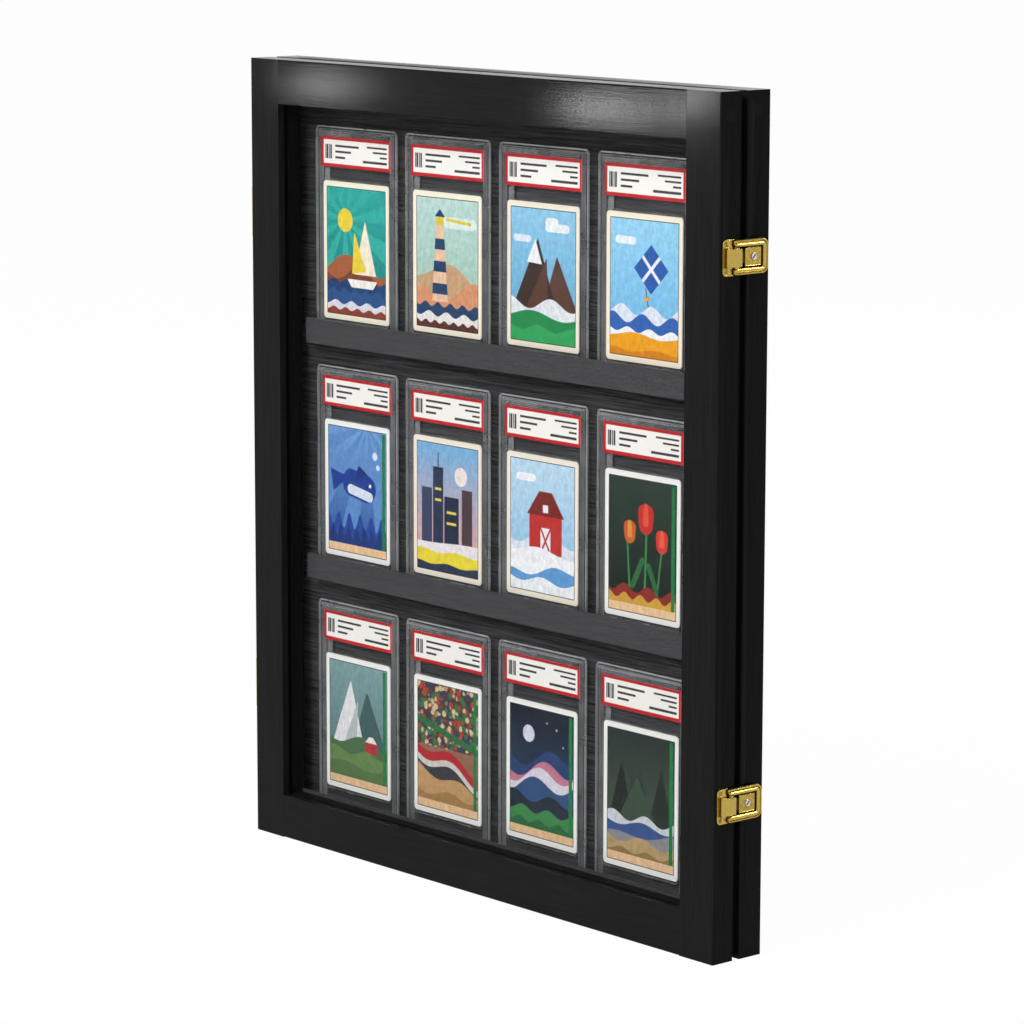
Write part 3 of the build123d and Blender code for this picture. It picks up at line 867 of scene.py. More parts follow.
# ---- printed cards ------------------------------------------------------------------------------------
# Each card has its border, its sky from bottom to top, and what is printed on it from back to front.
# "box": middle across and up, half width and height, corner rounding, turn in degrees, taper, colour.
# "wave": level, height, length and shift of the waves, slope, colour of all that lies below.
# "rays": middle across and up, number of rays, colour. Lengths are in millimetres.
EDGE_STRIPE = ("box", 26.8, 2, 1.5, 38, 0.4, 0, 0, "1e7d44")
FOOT_BAND = ("box", 0, -38.4, 30, 2.8, 0.3, 0, 0, "eec79a")
CARDS = {
    "r1c1": (
        "f7f0dc", "0f8583", "27a59c",
        ("rays", -11, 20, 11, "2fb0a4"),
        ("box", -11, 20, 7.5, 7.5, 7.5, 0, 0, "efd23c"),
        ("wave", -9, 8, 74, 30, 0.1, "a8603c"),
        ("wave", -14, 5, 47, 8, -0.05, "7c3f2c"),
        ("wave", -19, 1.2, 13, 0, 0, "1d3f73"),
        ("box", 9, 3, 5.6, 17, 0.4, 0, 0.32, "f6ecd4"),
        ("box", 0.5, 0, 3.6, 13, 0.3, 10, 0.27, "efd23c"),
        ("box", 6, -20, 13, 2.6, 0.8, 0, -0.8, "f6f2ea"),
        ("wave", -25, 1.5, 11, 4, 0, "27528a"),
        ("wave", -33, 1.3, 16, 9, 0, "dcdfe8"),
        ("wave", -37, 1, 12, 2, 0, "8f3b2c"),
    ),
    "r1c2": (
        "f7f0dc", "a3c6b6", "bbdad4",
        ("box", 12, 26, 16, 3.6, 3.6, 0, 0, "dfece6"),
        ("wave", -6, 6, 66, 14, -0.1, "c9a27c"),
        ("wave", -18, 5, 52, 40, 0.1, "d8956e"),
        ("box", -7, 0, 5.4, 24, 0.4, 0, 0.09, "ecc6a4"),
        ("box", -7, 12, 4.8, 3.4, 0.2, 0, 0.09, "1f4168"),
        ("box", -7, -2, 6.0, 3.4, 0.2, 0, 0.09, "1f4168"),
        ("box", -7, -16, 7.2, 3.4, 0.2, 0, 0.09, "1f4168"),
        ("box", -7, 26.5, 3.6, 2.6, 0.4, 0, 0, "e2c93c"),
        ("box", -7, 31.5, 2.6, 2.4, 0.3, 0, 1.0, "1f4168"),
        ("box", 11, 27, 12, 0.9, 0.5, -4, 0, "e2c93c"),
        ("wave", -26, 1.4, 12, 0, 0, "1f4168"),
        ("wave", -32, 1.6, 17, 5, 0, "e9e7e6"),
        ("wave", -37, 1, 9, 5, 0, "5b2c22"),
    ),
    "r1c3": (
        "f3ead8", "66add8", "8fc9e8",
        ("box", 13, 30, 11, 2.6, 2.6, 0, 0, "eef3f8"),
        ("box", 8, 33, 6, 3, 3, 0, 0, "eef3f8"),
        ("box", -19, 22, 8, 2.2, 2.2, 0, 0, "e2ecf4"),
        ("box", 14, -6, 9, 19, 0.5, 4, 0.47, "5b3c30"),
        ("box", -6, -2, 11.5, 25, 0.5, -3, 0.46, "3c2822"),
        ("box", -1.5, -8, 6, 20, 0.5, -14, 0.3, "5a3a2c"),
        ("box", -7.5, 15, 3.4, 7.5, 0.3, -3, 0.46, "f2f4f8"),
        ("wave", -17, 3.5, 39, 3, 0, "e4e8ee"),
        ("wave", -24, 2.5, 58, 25, 0, "1f8a4c"),
        ("wave", -32, 2, 31, 12, 0, "2fa45c"),
    ),
    "r1c4": (
        "f7ecd6", "72bbe8", "97d3f2",
        ("box", -16, 28, 9, 2.4, 2.4, 0, 0, "eef5fa"),
        ("box", 6, 12, 10.5, 10.5, 0.4, 45, 0, "2a5cae"),
        ("box", 6, 12, 10.5, 1.1, 0.3, 45, 0, "eef2fa"),
        ("box", 6, 12, 10.5, 1.1, 0.3, -45, 0, "eef2fa"),
        ("box", 3, -7, 0.4, 8, 0.2, 12, 0, "5a3b30"),
        ("box", 2, -6, 2.4, 1, 0.2, 12, 0, "f0a412"),
        ("wave", -13, 3, 26, 0, 0, "e2e8f4"),
        ("wave", -18, 3, 26, 8, 0, "2f64b4"),
        ("wave", -25, 1.5, 19, 0, 0, "f4f6fa"),
        ("wave", -28, 1.5, 47, 20, 0, "f0a412"),
        ("wave", -37, 1, 40, 0, 0, "d8860c"),
    ),
    "r2c1": (
        "f5f5f1", "2f5ca6", "6f9fd4",
        ("rays", 10, 44, 13, "5f8fcb"),
        ("box", 2, 4, 17, 9, 9, -10, 0, "1d3f92"),
        ("box", -18, 7, 4, 8, 1, -78, 0.45, "1d3f92"),
        ("box", 3, -0.6, 13, 3.2, 3.2, -10, 0, "dfe6f4"),
        ("box", 3, 13, 4, 4, 0.6, 20, 0.8, "16327a"),
        ("box", 13, 5, 1.2, 1.2, 1.2, 0, 0, "f6f6f2"),
        ("box", 21, 18, 1.8, 1.8, 1.8, 0, 0, "d4e4f4"),
        ("box", 18, 25, 2.6, 2.6, 2.6, 0, 0, "d4e4f4"),
        ("wave", -20, 5, 11, 0, 0, "22489a"),
        ("wave", -27, 4, 8, 3, 0, "19367c"),
        EDGE_STRIPE,
        FOOT_BAND,
    ),
    "r2c2": (
        "f3ead8", "dcaaa2", "7db2dc",
        ("box", 13, 22, 6, 6, 6, 0, 0, "f2e6e2"),
        ("box", 19, -8, 5, 22, 0.2, 0, 0, "4c3a40"),
        ("box", -20, -10, 5, 22, 0.2, 0, 0, "3a4462"),
        ("box", -9, -2, 5, 28, 0.2, 0, 0, "28344e"),
        ("box", 4, -12, 7, 20, 0.2, 0, 0, "1e2942"),
        ("box", -9, 29, 0.5, 6, 0.1, 0, 0, "28344e"),
        ("box", -9, 12, 3, 0.8, 0.1, 0, 0, "e9d65a"),
        ("box", -9, 5, 3, 0.8, 0.1, 0, 0, "e9d65a"),
        ("box", 4, -2, 4.6, 0.8, 0.1, 0, 0, "e9d65a"),
        ("box", 4, -9, 4.6, 0.8, 0.1, 0, 0, "e9d65a"),
        ("wave", -22, 1, 90, 0, 0, "ece6ea"),
        ("wave", -28, 1, 33, 0, 0, "ecd93c"),
        ("wave", -36, 0.8, 30, 8, 0, "28344e"),
    ),
    "r2c3": (
        "f3ead8", "8fc4e8", "bcdcf0",
        ("box", -15, 30, 9, 2.4, 2.4, 0, 0, "f4f8fb"),
        ("wave", -6, 5, 50, 10, 0, "dde6f0"),
        ("box", 3, -4, 15, 12, 0.2, 0, 0, "c02f2a"),
        ("box", 3, 15, 11.5, 7.5, 0.2, 0, 0.75, "7c2420"),
        ("box", 3, -8, 4.6, 8, 0.2, 0, 0, "eceff4"),
        ("box", 3, -8, 0.7, 10, 0.1, 30, 0, "c02f2a"),
        ("box", 3, -8, 0.7, 10, 0.1, -30, 0, "c02f2a"),
        ("box", 3, 12, 2.4, 2.4, 0.2, 0, 0, "eceff4"),
        ("wave", -15, 2.4, 61, 20, 0, "f2f4f8"),
        ("wave", -27, 2.4, 43, 0, 0.1, "5f9bd4"),
        ("wave", -33, 2, 37, 10, 0, "eef2f6"),
    ),
    "r2c4": (
        "f5f5f1", "131d18", "26382c",
        ("box", -12, -12, 0.7, 18, 0.3, 4, 0, "3f8a4c"),
        ("box", 3, -8, 0.8, 22, 0.3, -2, 0, "3f8a4c"),
        ("box", 15, -14, 0.7, 16, 0.3, -8, 0, "3f8a4c"),
        ("box", -4, -16, 2, 11, 2, -28, 0, "2c6a3a"),
        ("box", 9, -18, 2, 10, 2, 26, 0, "2c6a3a"),
        ("box", -11, 8, 5, 7, 4.6, 0, -0.1, "c8642a"),
        ("box", 3, 17, 6.4, 9, 5.6, 0, -0.1, "c92c28"),
        ("box", 17, 5, 5, 7, 4.6, 0, -0.1, "d83a30"),
        ("box", 3, 20, 2.2, 7, 2, 0, 0.1, "e4553c"),
        ("box", -11, 10, 1.8, 5.4, 1.6, 0, 0.1, "e8943c"),
        ("box", 17, 7, 1.8, 5.4, 1.6, 0, 0.1, "f0644a"),
        ("wave", -26, 2.4, 21, 0, 0, "8c2c22"),
        ("wave", -31, 1.8, 14, 5, 0, "d0a03c"),
        EDGE_STRIPE,
        FOOT_BAND,
    ),
    "r3c1": (
        "f5f5f1", "55797c", "7d9fa0",
        ("box", 10, 2, 10, 21, 0.4, 3, 0.44, "41605f"),
        ("box", -9, 4, 9.5, 25, 0.4, -3, 0.37, "e6e6e8"),
        ("box", -5, -2, 4, 19, 0.4, -14, 0.2, "b9c0c4"),
        ("wave", -10, 3, 44, 9, 0, "4c6e4a"),
        ("box", 13, -13, 6, 4, 0.2, 0, 0, "b4323a"),
        ("box", 13, -7.4, 4, 2, 0.2, 0, 1.0, "ecebe6"),
        ("wave", -18, 2, 33, 0, 0, "66894e"),
        ("wave", -27, 2, 55, 30, 0, "587848"),
        EDGE_STRIPE,
        FOOT_BAND,
    ),
    "r3c2": (
        "f5f5f1", "8a5a4c", "a07a60",
        ("mosaic", 44, 3.4),
        ("box", 6, 8, 40, 2.2, 0.2, -14, 0, "2f6e42"),
        ("wave", -5, 4, 51, 9, -0.25, "b42a30"),
        ("wave", -11, 4, 51, 9, -0.25, "d4d0c8"),
        ("wave", -15, 4, 51, 9, -0.25, "3a3c42"),
        ("wave", -20, 3, 47, 0, -0.2, "c49a6a"),
        ("wave", -30, 2, 39, 9, 0, "a8804e"),
        EDGE_STRIPE,
        FOOT_BAND,
    ),
    "r3c3": (
        "f5f5f1", "2c4564", "141d2c",
        ("box", -12, 24, 5.4, 5.4, 5.4, 0, 0, "dde0ea"),
        ("box", 14, 30, 0.6, 0.6, 0.6, 0, 0, "f0f0f0"),
        ("box", 5, 33, 0.5, 0.5, 0.5, 0, 0, "f0f0f0"),
        ("box", 20, 20, 0.5, 0.5, 0.5, 0, 0, "f0f0f0"),
        ("wave", 10, 5, 46, 4, 0.1, "28406e"),
        ("wave", 3, 5, 46, 9, 0.1, "c27a92"),
        ("wave", -1, 5, 46, 14, 0.1, "dcd6e2"),
        ("wave", -7, 5, 50, 20, 0.1, "31507e"),
        ("wave", -16, 3, 35, 0, 0, "1f2c3a"),
        ("wave", -24, 2, 24, 0, 0, "3f8a4e"),
        ("wave", -31, 1.5, 18, 7, 0, "2a6a3c"),
        EDGE_STRIPE,
        FOOT_BAND,
    ),
    "r3c4": (
        "f5f5f1", "48584a", "26322c",
        ("box", -17, 4, 5.4, 17, 0.3, 0, 0.31, "1c261f"),
        ("box", 18, 2, 6, 20, 0.3, 0, 0.29, "202b24"),
        ("box", -3, 10, 6, 20, 0.3, 0, 0.29, "2c3c30"),
        ("box", -3, 0, 8.4, 13, 0.3, 0, 0.6, "3a4e3c"),
        ("wave", -12, 2.6, 29, 3, 0, "d0d4da"),
        ("wave", -16, 2, 41, 9, 0, "39568e"),
        ("wave", -22, 2, 60, 40, 0.1, "8a8c90"),
        ("wave", -26, 2.4, 37, 9, 0, "b99e6e"),
        ("wave", -33, 1.4, 23, 0, 0, "94784c"),
        EDGE_STRIPE,
        FOOT_BAND,
    ),
}
PICTURE_HALF = (29.3, 40.6)
CARD_HALF_H = 44.5
LABEL_ABOVE_CARD = 63.25  # card's middle to the label's


def print_on(tree, place, picture, kind, *rest):
    """Adds one printed shape to a card's picture."""
    if kind == "mosaic":
        high, size = rest
        stones = use(tree, mosaic(), {"Place": place, "Size": size})["Colour"]
        above = wave_mask(tree, place, 0, 0, 1, 0, 0)
        return blend(tree, above, stones, picture)
    *numbers, code = rest
    if kind == "box":
        x, z, half_w, half_h, rounding, turn, taper = numbers
        mask = shape_mask(tree, place, (x, z), (half_w, half_h), rounding, turn, taper)
    elif kind == "wave":
        mask = wave_mask(tree, place, *numbers)
    else:
        x, z, count = numbers
        mask = use(
            tree, print_rays(), {"Place": place, "Centre": (x, 0.0, z), "Count": float(count)}
        )["Mask"]
    return blend(tree, mask, picture, linear(code))


def card_print(key):
    """Ink on one card and on the label above it, placed by the node's own box."""
    border, low_sky, high_sky, *shapes = CARDS[key]
    material, tree, shader, object_place = surface("card_print_" + key, IOR=1.1)
    low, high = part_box("card_insert_" + key)
    middle = Vector(((low.x + high.x) / 2, (low.y + high.y) / 2, low.z + CARD_HALF_H * MM))
    place = wire(
        tree,
        "ShaderNodeMapping",
        {"Vector": object_place, "Location": middle, "Scale": (MM, MM, MM)},
        vector_type="TEXTURE",
    ).outputs[0]
    up = wire(tree, "ShaderNodeSeparateXYZ", {0: place}).outputs["Z"]
    picture = blend(tree, ramp(tree, up, -30.0, 36.0), linear(low_sky), linear(high_sky))
    for shape in shapes:
        picture = print_on(tree, place, picture, *shape)
    picture = shade(tree, picture, use(tree, ink_grain(), {"Place": place})["Shade"])
    line = shape_mask(tree, place, (0, 0), (PICTURE_HALF[0] + 0.5, PICTURE_HALF[1] + 0.5), 0.6)
    window = shape_mask(tree, place, (0, 0), PICTURE_HALF, 0.4)
    card = blend(tree, line, linear(border), linear("1c1c1e"))
    card = blend(tree, window, card, picture)
    lifted = reckon_places(tree, "SUBTRACT", place, (0.0, 0.0, LABEL_ABOVE_CARD))
    label = use(
        tree,
        label_print(),
        {"Place": lifted, "Paper": (*colours().paper, 1.0), "Border": (*colours().label_edge, 1.0)},
    )["Colour"]
    both = blend(tree, ramp(tree, up, CARD_HALF_H + 3.0, CARD_HALF_H + 3.2), card, label)
    fibre = noise(tree, place, 1.4, 3.0)
    feed(
        tree,
        shader,
        Base_Color=both,
        Roughness=ramp(tree, fibre, 0.3, 0.7, 0.4, 0.52),
        Normal=bump(tree, fibre, 0.02 * MM, 0.5),
    )
    return material


# ---- operators: wood ----------------------------------------------------------------------------------
def upright(node):
    return "stile" in node or "side" in node


class CASE_OT_boards(bpy.types.Operator):
    """Rounds and lacquers the boards of the door and of the box"""

    bl_idname = "card_case.boards"
    bl_label = "Boards"

    def execute(self, context):
        across = lacquer("black_lacquer_across", colours().lacquer, ALONG_X)
        along = lacquer("black_lacquer_upright", colours().lacquer, ALONG_Z)
        for node in sorted(NODES):
            if node.startswith(("box_side", "box_top", "box_bottom", "door_stile", "door_rail")):
                eased_copy(
                    node, sizes().board_round, along if upright(node) else across, "black_lacquered_wood"
                )
        plugs = lacquer("dowel_ends", colours().lacquer, (700.0, 700.0, 700.0), 0.45)
        for node in ("box_dowels", "door_dowels"):
            NODES[node].data.materials.clear()
            NODES[node].data.materials.append(plugs)
        return {"FINISHED"}


class CASE_OT_lining(bpy.types.Operator):
    """Finishes the grained panel, the ledges and the beads"""

    bl_idname = "card_case.lining"
    bl_label = "Panel and ledges"

    def execute(self, context):
        panel = NODES["display_panel"]
        panel.data.materials.clear()
        panel.data.materials.append(grained_panel())
        worn = ledge_finish()
        for node in ("ledge_upper", "ledge_middle", "ledge_bottom"):
            eased_copy(node, sizes().ledge_round, worn, "ledge_strip")
        beads = lacquer("black_bead", colours().bead, ALONG_Z, 0.5)
        eased_copy("door_beads", sizes().ledge_round, beads, "black_bead_wood")
        return {"FINISHED"}


class CASE_OT_pane(bpy.types.Operator):
    """Clears the door's pane"""

    bl_idname = "card_case.pane"
    bl_label = "Pane"

    def execute(self, context):
        pane = NODES["door_pane"]
        pane.data.materials.clear()
        pane.data.materials.append(clear("pane_clear", 1.04, (0.0, 0.001), 0.02, linear("e8eeee")))
        return {"FINISHED"}


# ---- operators: brass ---------------------------------------------------------------------------------
SIDE_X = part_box("door_stile_right")[1].x
OUT = Vector((1, 0, 0))


def countersunk(name, head, inward, turn):
    """A small slotted screw: its head's middle, the way it is driven and its slot's turn."""
    head, inward = Vector(head), Vector(inward)
    shank = rod(name, head + inward * 0.7 * MM, head + inward * 7.8 * MM, 0.88 * MM, 16)
    top = rod(name + "_head", head + inward * 0.01 * MM, head + inward * 0.78 * MM, 1.36 * MM, 28)
    deep = head + inward * 0.78 * MM
    pick_faces(top, lambda middle, normal: normal.dot(inward) > 0.9)
    bpy.ops.transform.resize(value=(0.62, 0.62, 0.62), center_override=tuple(deep))
    close()
    ease(top, 0.1 * MM)
    wide = sizes().screw_slot / 2
    facing = inward.to_track_quat("Z", "Y").to_matrix() @ Matrix.Rotation(turn, 3, "Z")
    cut(top, slot_cutter(name, head - inward * 0.1 * MM, facing, (4 * MM, wide * 2, 0.8 * MM)))
    return join(top, shank)


def slot_cutter(name, middle, facing, size):
    """A turned box that cuts a screwdriver's or a key's slot."""
    start_clean()
    bpy.ops.mesh.primitive_cube_add(size=1, location=middle, rotation=facing.to_euler(), scale=size)
    return settle(name + "_slot")


def leaf_screw_places(node):
    """Heads of the two screws in a hinge leaf."""
    low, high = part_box(node)
    knuckles_out = 4.6 * MM
    door = node.startswith("hinge_door")
    y = (low.y + high.y - knuckles_out) / 2 if door else (low.y + high.y + knuckles_out) / 2
    z = (low.z + high.z) / 2
    face = -SIDE_X - 1.0 * MM
    return [((face, y, z + half * 9 * MM), (1, 0, 0)) for half in (-1, 1)]


def gather(name, places, body, node, slot, material):
    """All the screws of one node as one piece."""
    made = [
        countersunk(name + str(count), head, inward, 0.6 + 1.3 * count)
        for count, (head, inward) in enumerate(places)
    ]
    group = join(*made)
    group.name = name
    return dress(group, body, slot, [node], material)


class CASE_OT_hinges(bpy.types.Operator):
    """Rounds the hinge leaves and gives every screw its slot"""

    bl_idname = "card_case.hinges"
    bl_label = "Hinges and screws"

    def execute(self, context):
        metal = brass()
        for level in LEVELS:
            for leaf in ("hinge_box_leaf_", "hinge_door_leaf_"):
                eased_copy(leaf + level, sizes().metal_round, metal, "polished_brass")
        pins = NODES["hinge_pins"]
        pins.data.materials.clear()
        pins.data.materials.append(metal)
        for side in ("left", "right"):
            eased_copy("hanger_" + side, sizes().metal_round, metal, "polished_brass")
        box_places, door_places = [], []
        for level in LEVELS:
            box_places += leaf_screw_places("hinge_box_leaf_" + level)
            door_places += leaf_screw_places("hinge_door_leaf_" + level)
            z = latch_height(level)
            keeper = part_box("latch_keeper_" + level)
            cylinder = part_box("lock_cylinder_" + level)
            y = (cylinder[0].y + cylinder[1].y) / 2
            face = SIDE_X + 1.0 * MM
            for half in (-1, 1):
                box_places.append(((face, y, z + half * 7.5 * MM), (-1, 0, 0)))
                door_places.append(((face, keeper[0].y + 2.6 * MM, z + half * 7.9 * MM), (-1, 0, 0)))
        for side in ("left", "right"):
            low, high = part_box("hanger_" + side)
            x, z = (low.x + high.x) / 2, (low.z + high.z) / 2
            for half in (-1, 1):
                box_places.append(((x, high.y, z + half * 17.5 * MM), (0, -1, 0)))
        screws = brass("brass_screws", 0.9, 0.25, 0.8)
        gather("box_screws", box_places, "case", "box_hardware_screws", "polished_brass", screws)
        gather("door_screws", door_places, "door", "door_hardware_screws", "polished_brass", screws)
        hidden = NODES["ledge_screws"]
        hidden.data.materials.clear()
        hidden.data.materials.append(white_metal("zinc_plated", colours().zinc, 0.3))
        return {"FINISHED"}


def latch_height(level):
    low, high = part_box("lock_cylinder_" + level)
    return (low.z + high.z) / 2


# The ring's section as shares of its width from the outside in, and of its height.
RING_OUTLINE = (
    (0.0, 0.0), (0.0, 0.42), (0.04, 0.66), (0.12, 0.8), (0.22, 0.78), (0.28, 0.62), (0.31, 0.42),
    (0.36, 0.42), (0.4, 0.66), (0.47, 0.88), (0.6, 1.0), (0.76, 0.98), (0.88, 0.84), (0.96, 0.56),
    (1.0, 0.25), (1.0, 0.0),
)


def move_corner(piece, place, target):
    """Moves one corner of a mesh to a point."""
    take(piece)
    mesh = piece.data
    for part in (mesh.vertices, mesh.edges, mesh.polygons):
        part.foreach_set("select", [False] * len(part))
    corner = mesh.vertices[place]
    corner.select = True
    run = Vector(target) - corner.co
    bpy.context.tool_settings.mesh_select_mode = (True, False, False)
    bpy.ops.object.mode_set(mode="EDIT")
    bpy.ops.transform.translate(value=tuple(run))
    close()


def ring_piece(name, z):
    """A bar with a rolled face and a thin outer lip, run round three sides, with round arm ends."""
    low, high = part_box("latch_ring_upper")
    under, end_y, start_y = SIDE_X + 1.3 * MM, high.y, low.y
    half = (high.z - low.z) / 2
    width, corner = sizes().ring_width, sizes().ring_corner
    rise = high.x - under
    arm_y = start_y + 1.6 * MM
    points = [(under + up * rise, arm_y, z - half + across * width) for across, up in RING_OUTLINE]
    start_clean()
    bpy.ops.mesh.primitive_circle_add(vertices=len(points), radius=MM, fill_type="NGON")
    piece = settle(name)
    for place, point in enumerate(points):
        move_corner(piece, place, point)
    pick_faces(piece, lambda middle, normal: True)
    bpy.ops.mesh.extrude_region_move(
        TRANSFORM_OT_translate={"value": (0, end_y - corner - arm_y, 0)}
    )
    for turn in range(2):
        centre = (
            under,
            end_y - corner,
            z + (half - corner) * (-1 if turn == 0 else 1),
        )
        bpy.ops.mesh.spin(steps=8, angle=math.radians(-90), center=centre, axis=(1, 0, 0))
        if turn == 0:
            bpy.ops.mesh.extrude_region_move(
                TRANSFORM_OT_translate={"value": (0, 0, 2 * (half - corner))}
            )
    bpy.ops.mesh.extrude_region_move(
        TRANSFORM_OT_translate={"value": (0, arm_y - (end_y - corner), 0)}
    )
    close()
    for side in (-1, 1):
        tip = Vector((under + rise * 0.3, arm_y, z + side * (half - width / 2)))
        pick_faces(
            piece,
            lambda middle, normal: abs(middle.y - arm_y) < 0.01 * MM and side * (middle.z - z) > 0,
        )
        for step, (run, size) in enumerate(((0.7, 0.94), (0.55, 0.84), (0.35, 0.6))):
            bpy.ops.mesh.extrude_region_move(
                TRANSFORM_OT_translate={"value": (0, -run * MM, 0)}
            )
            tip.y -= run * MM
            bpy.ops.transform.resize(value=(size, 1, size), center_override=tuple(tip))
        close()
    pick_faces(piece, lambda middle, normal: True)
    bpy.ops.mesh.remove_doubles(threshold=0.001 * MM)
    bpy.ops.mesh.normals_make_consistent(inside=False)
    close()
    take(piece)
    bpy.ops.object.shade_smooth_by_angle(angle=math.radians(38))
    pin = rod(
        name + "_pin",
        (SIDE_X + 1.9 * MM, start_y + 1.3 * MM, z - half + 2.2 * MM),
        (SIDE_X + 1.9 * MM, start_y + 1.3 * MM, z + half - 2.2 * MM),
        0.6 * MM,
        20,
    )
    ease(pin, 0.15 * MM)
    return join(piece, pin)


# The gap shows dark over the latch plate's painted shade.
SHORTER = 1.7 * MM  # the claw and its catch stop this much before the solids, so that the dark gap shows


def claw_piece(name, z):
    """A draw claw: a tile with a rolled edge, ears at the roll's ends and a hooked lip."""
    low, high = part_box("latch_claw_upper")
    top, bottom = high.x - 0.02 * MM, high.x - 0.9 * MM
    half = 5.1 * MM
    end = high.y - SHORTER
    tile = block(name, (bottom, low.y + 0.3 * MM, z - half), (top, end, z + half))
    round_edges(
        tile, lambda middle, way: abs(way.z) > 0.9 and middle.y < low.y + 1 * MM and middle.x > bottom + 0.1 * MM,
        0.7 * MM, 6,
    )
    inset_faces(tile, lambda middle, normal: normal.x > 0.95, 0.8 * MM, -0.12 * MM)
    ease(tile, 0.14 * MM)
    hinge_x, hinge_y = SIDE_X + 2.4 * MM, low.y + 1.1 * MM
    roll = rod(name + "_roll", (hinge_x, hinge_y, z - half), (hinge_x, hinge_y, z + half), 1.35 * MM, 32)
    ease(roll, 0.2 * MM)
    parts = [roll]
    for side in (-1, 1):
        ear = rod(
            name + "_ear",
            (hinge_x + 0.45 * MM, hinge_y + 0.35 * MM, z + side * (half - 0.35 * MM)),
            (hinge_x + 0.45 * MM, hinge_y + 0.35 * MM, z + side * (half + 0.85 * MM)),
            1.5 * MM,
            24,
        )
        parts.append(ease(ear, 0.3 * MM, 3))
    lip = block(name + "_lip", (SIDE_X + 2.3 * MM, end - 0.8 * MM, z - half), (bottom + 0.1 * MM, end, z + half))
    parts.append(ease(lip, 0.12 * MM))
    fold = block(
        name + "_fold",
        (hinge_x, hinge_y - 1.1 * MM, z - half),
        (top - 0.2 * MM, hinge_y + 0.4 * MM, z + half),
    )
    round_edges(
        fold, lambda middle, way: abs(way.z) > 0.9 and middle.y < hinge_y and middle.x > hinge_x + 0.1 * MM,
        0.8 * MM, 6,
    )
    parts.append(ease(fold, 0.1 * MM))
    return join(tile, *parts)


def base_piece(name, z):
    """The box's plate with the lock housing, its framed tile and the catch in front."""
    low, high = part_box("latch_base_upper")
    face = SIDE_X + 1.0 * MM
    plate = block(name, (SIDE_X, low.y + 8.4 * MM, z - 9.15 * MM), (face, high.y, z + 9.15 * MM))
    round_edges(plate, lambda middle, way: abs(way.x) > 0.9 and middle.y > 0, 2.5 * MM, 6)
    ease(plate, 0.2 * MM)
    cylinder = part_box("lock_cylinder_upper")
    middle_y = (cylinder[0].y + cylinder[1].y) / 2
    housing_low, housing_high = middle_y - 6.9 * MM, middle_y + 5.7 * MM
    housing = block(
        name + "_housing",
        (face - 0.2 * MM, housing_low, z - 5.2 * MM),
        (SIDE_X + 2.9 * MM, housing_high, z + 5.2 * MM),
    )
    round_edges(housing, lambda middle, way: abs(way.x) > 0.9, 0.6 * MM, 4)
    inset_faces(housing, lambda middle, normal: normal.x > 0.95, 0.45 * MM, 0.0)
    inset_faces(housing, lambda middle, normal: normal.x > 0.95, 0.22 * MM, -0.22 * MM)
    housing.data.materials.append(brass())
    housing.data.materials.append(brass("brass_mottled", 0.95, 0.32))
    paint(housing, lambda middle, normal: normal.x > 0.95 and abs(middle.z - z) < 4.2 * MM and abs(middle.y - middle_y) < 5 * MM, 1)
    bore = rod(name + "_bore", (face, middle_y, z), (face + 4 * MM, middle_y, z), 2.08 * MM, 40)
    cut(housing, bore)
    ease(housing, 0.12 * MM)
    tongue = block(
        name + "_tongue",
        (SIDE_X + 1.3 * MM, low.y - SHORTER, z - 3.5 * MM),
        (SIDE_X + 2.0 * MM, housing_low + 0.3 * MM, z + 3.5 * MM),
    )
    ease(tongue, 0.12 * MM)
    hook = block(
        name + "_hook",
        (SIDE_X + 1.9 * MM, low.y - SHORTER, z - 3.5 * MM),
        (SIDE_X + 3.2 * MM, low.y - SHORTER + 0.7 * MM, z + 3.5 * MM),
    )
    ease(hook, 0.12 * MM)
    # The plate, tongue and hook get fully stained brass dimmed to a quarter. This is painted shade, so that the gaps
    # round the claw and the ring read dark.
    for part in (plate, tongue, hook):
        part.data.materials.append(brass("brass_painted_shade", 1.0, 0.4, 0.25))
    return join(housing, plate, tongue, hook)


def cylinder_piece(name, z):
    """A slotted key cylinder with a rounded rim."""
    low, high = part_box("lock_cylinder_upper")
    middle_y = (low.y + high.y) / 2
    plug = rod(name, (low.x, middle_y, z), (high.x, middle_y, z), 2.0 * MM, 40)
    inset_faces(plug, lambda middle, normal: normal.x > 0.9, 0.45 * MM, -0.12 * MM)
    ease(plug, 0.16 * MM, 3)
    facing = Matrix.Rotation(math.radians(-45), 3, "X")
    cut(plug, slot_cutter(name, (high.x, middle_y, z), facing, (1.8 * MM, 0.84 * MM, 3.2 * MM)))
    plug.data.materials.append(white_metal("nickel_bright", colours().nickel, 0.12))
    plug.data.materials.append(white_metal("keyway_painted_shade", linear("1c1a18"), 0.5))
    # The key slot's walls and floor get near-black. This is painted shade for the depth of a keyway.
    paint(
        plug,
        lambda middle, normal: low.x + 0.1 * MM < middle.x < high.x - 0.16 * MM
        and (Vector((0, middle.y - middle_y, middle.z - z))).length < 1.75 * MM,
        1,
    )
    return plug


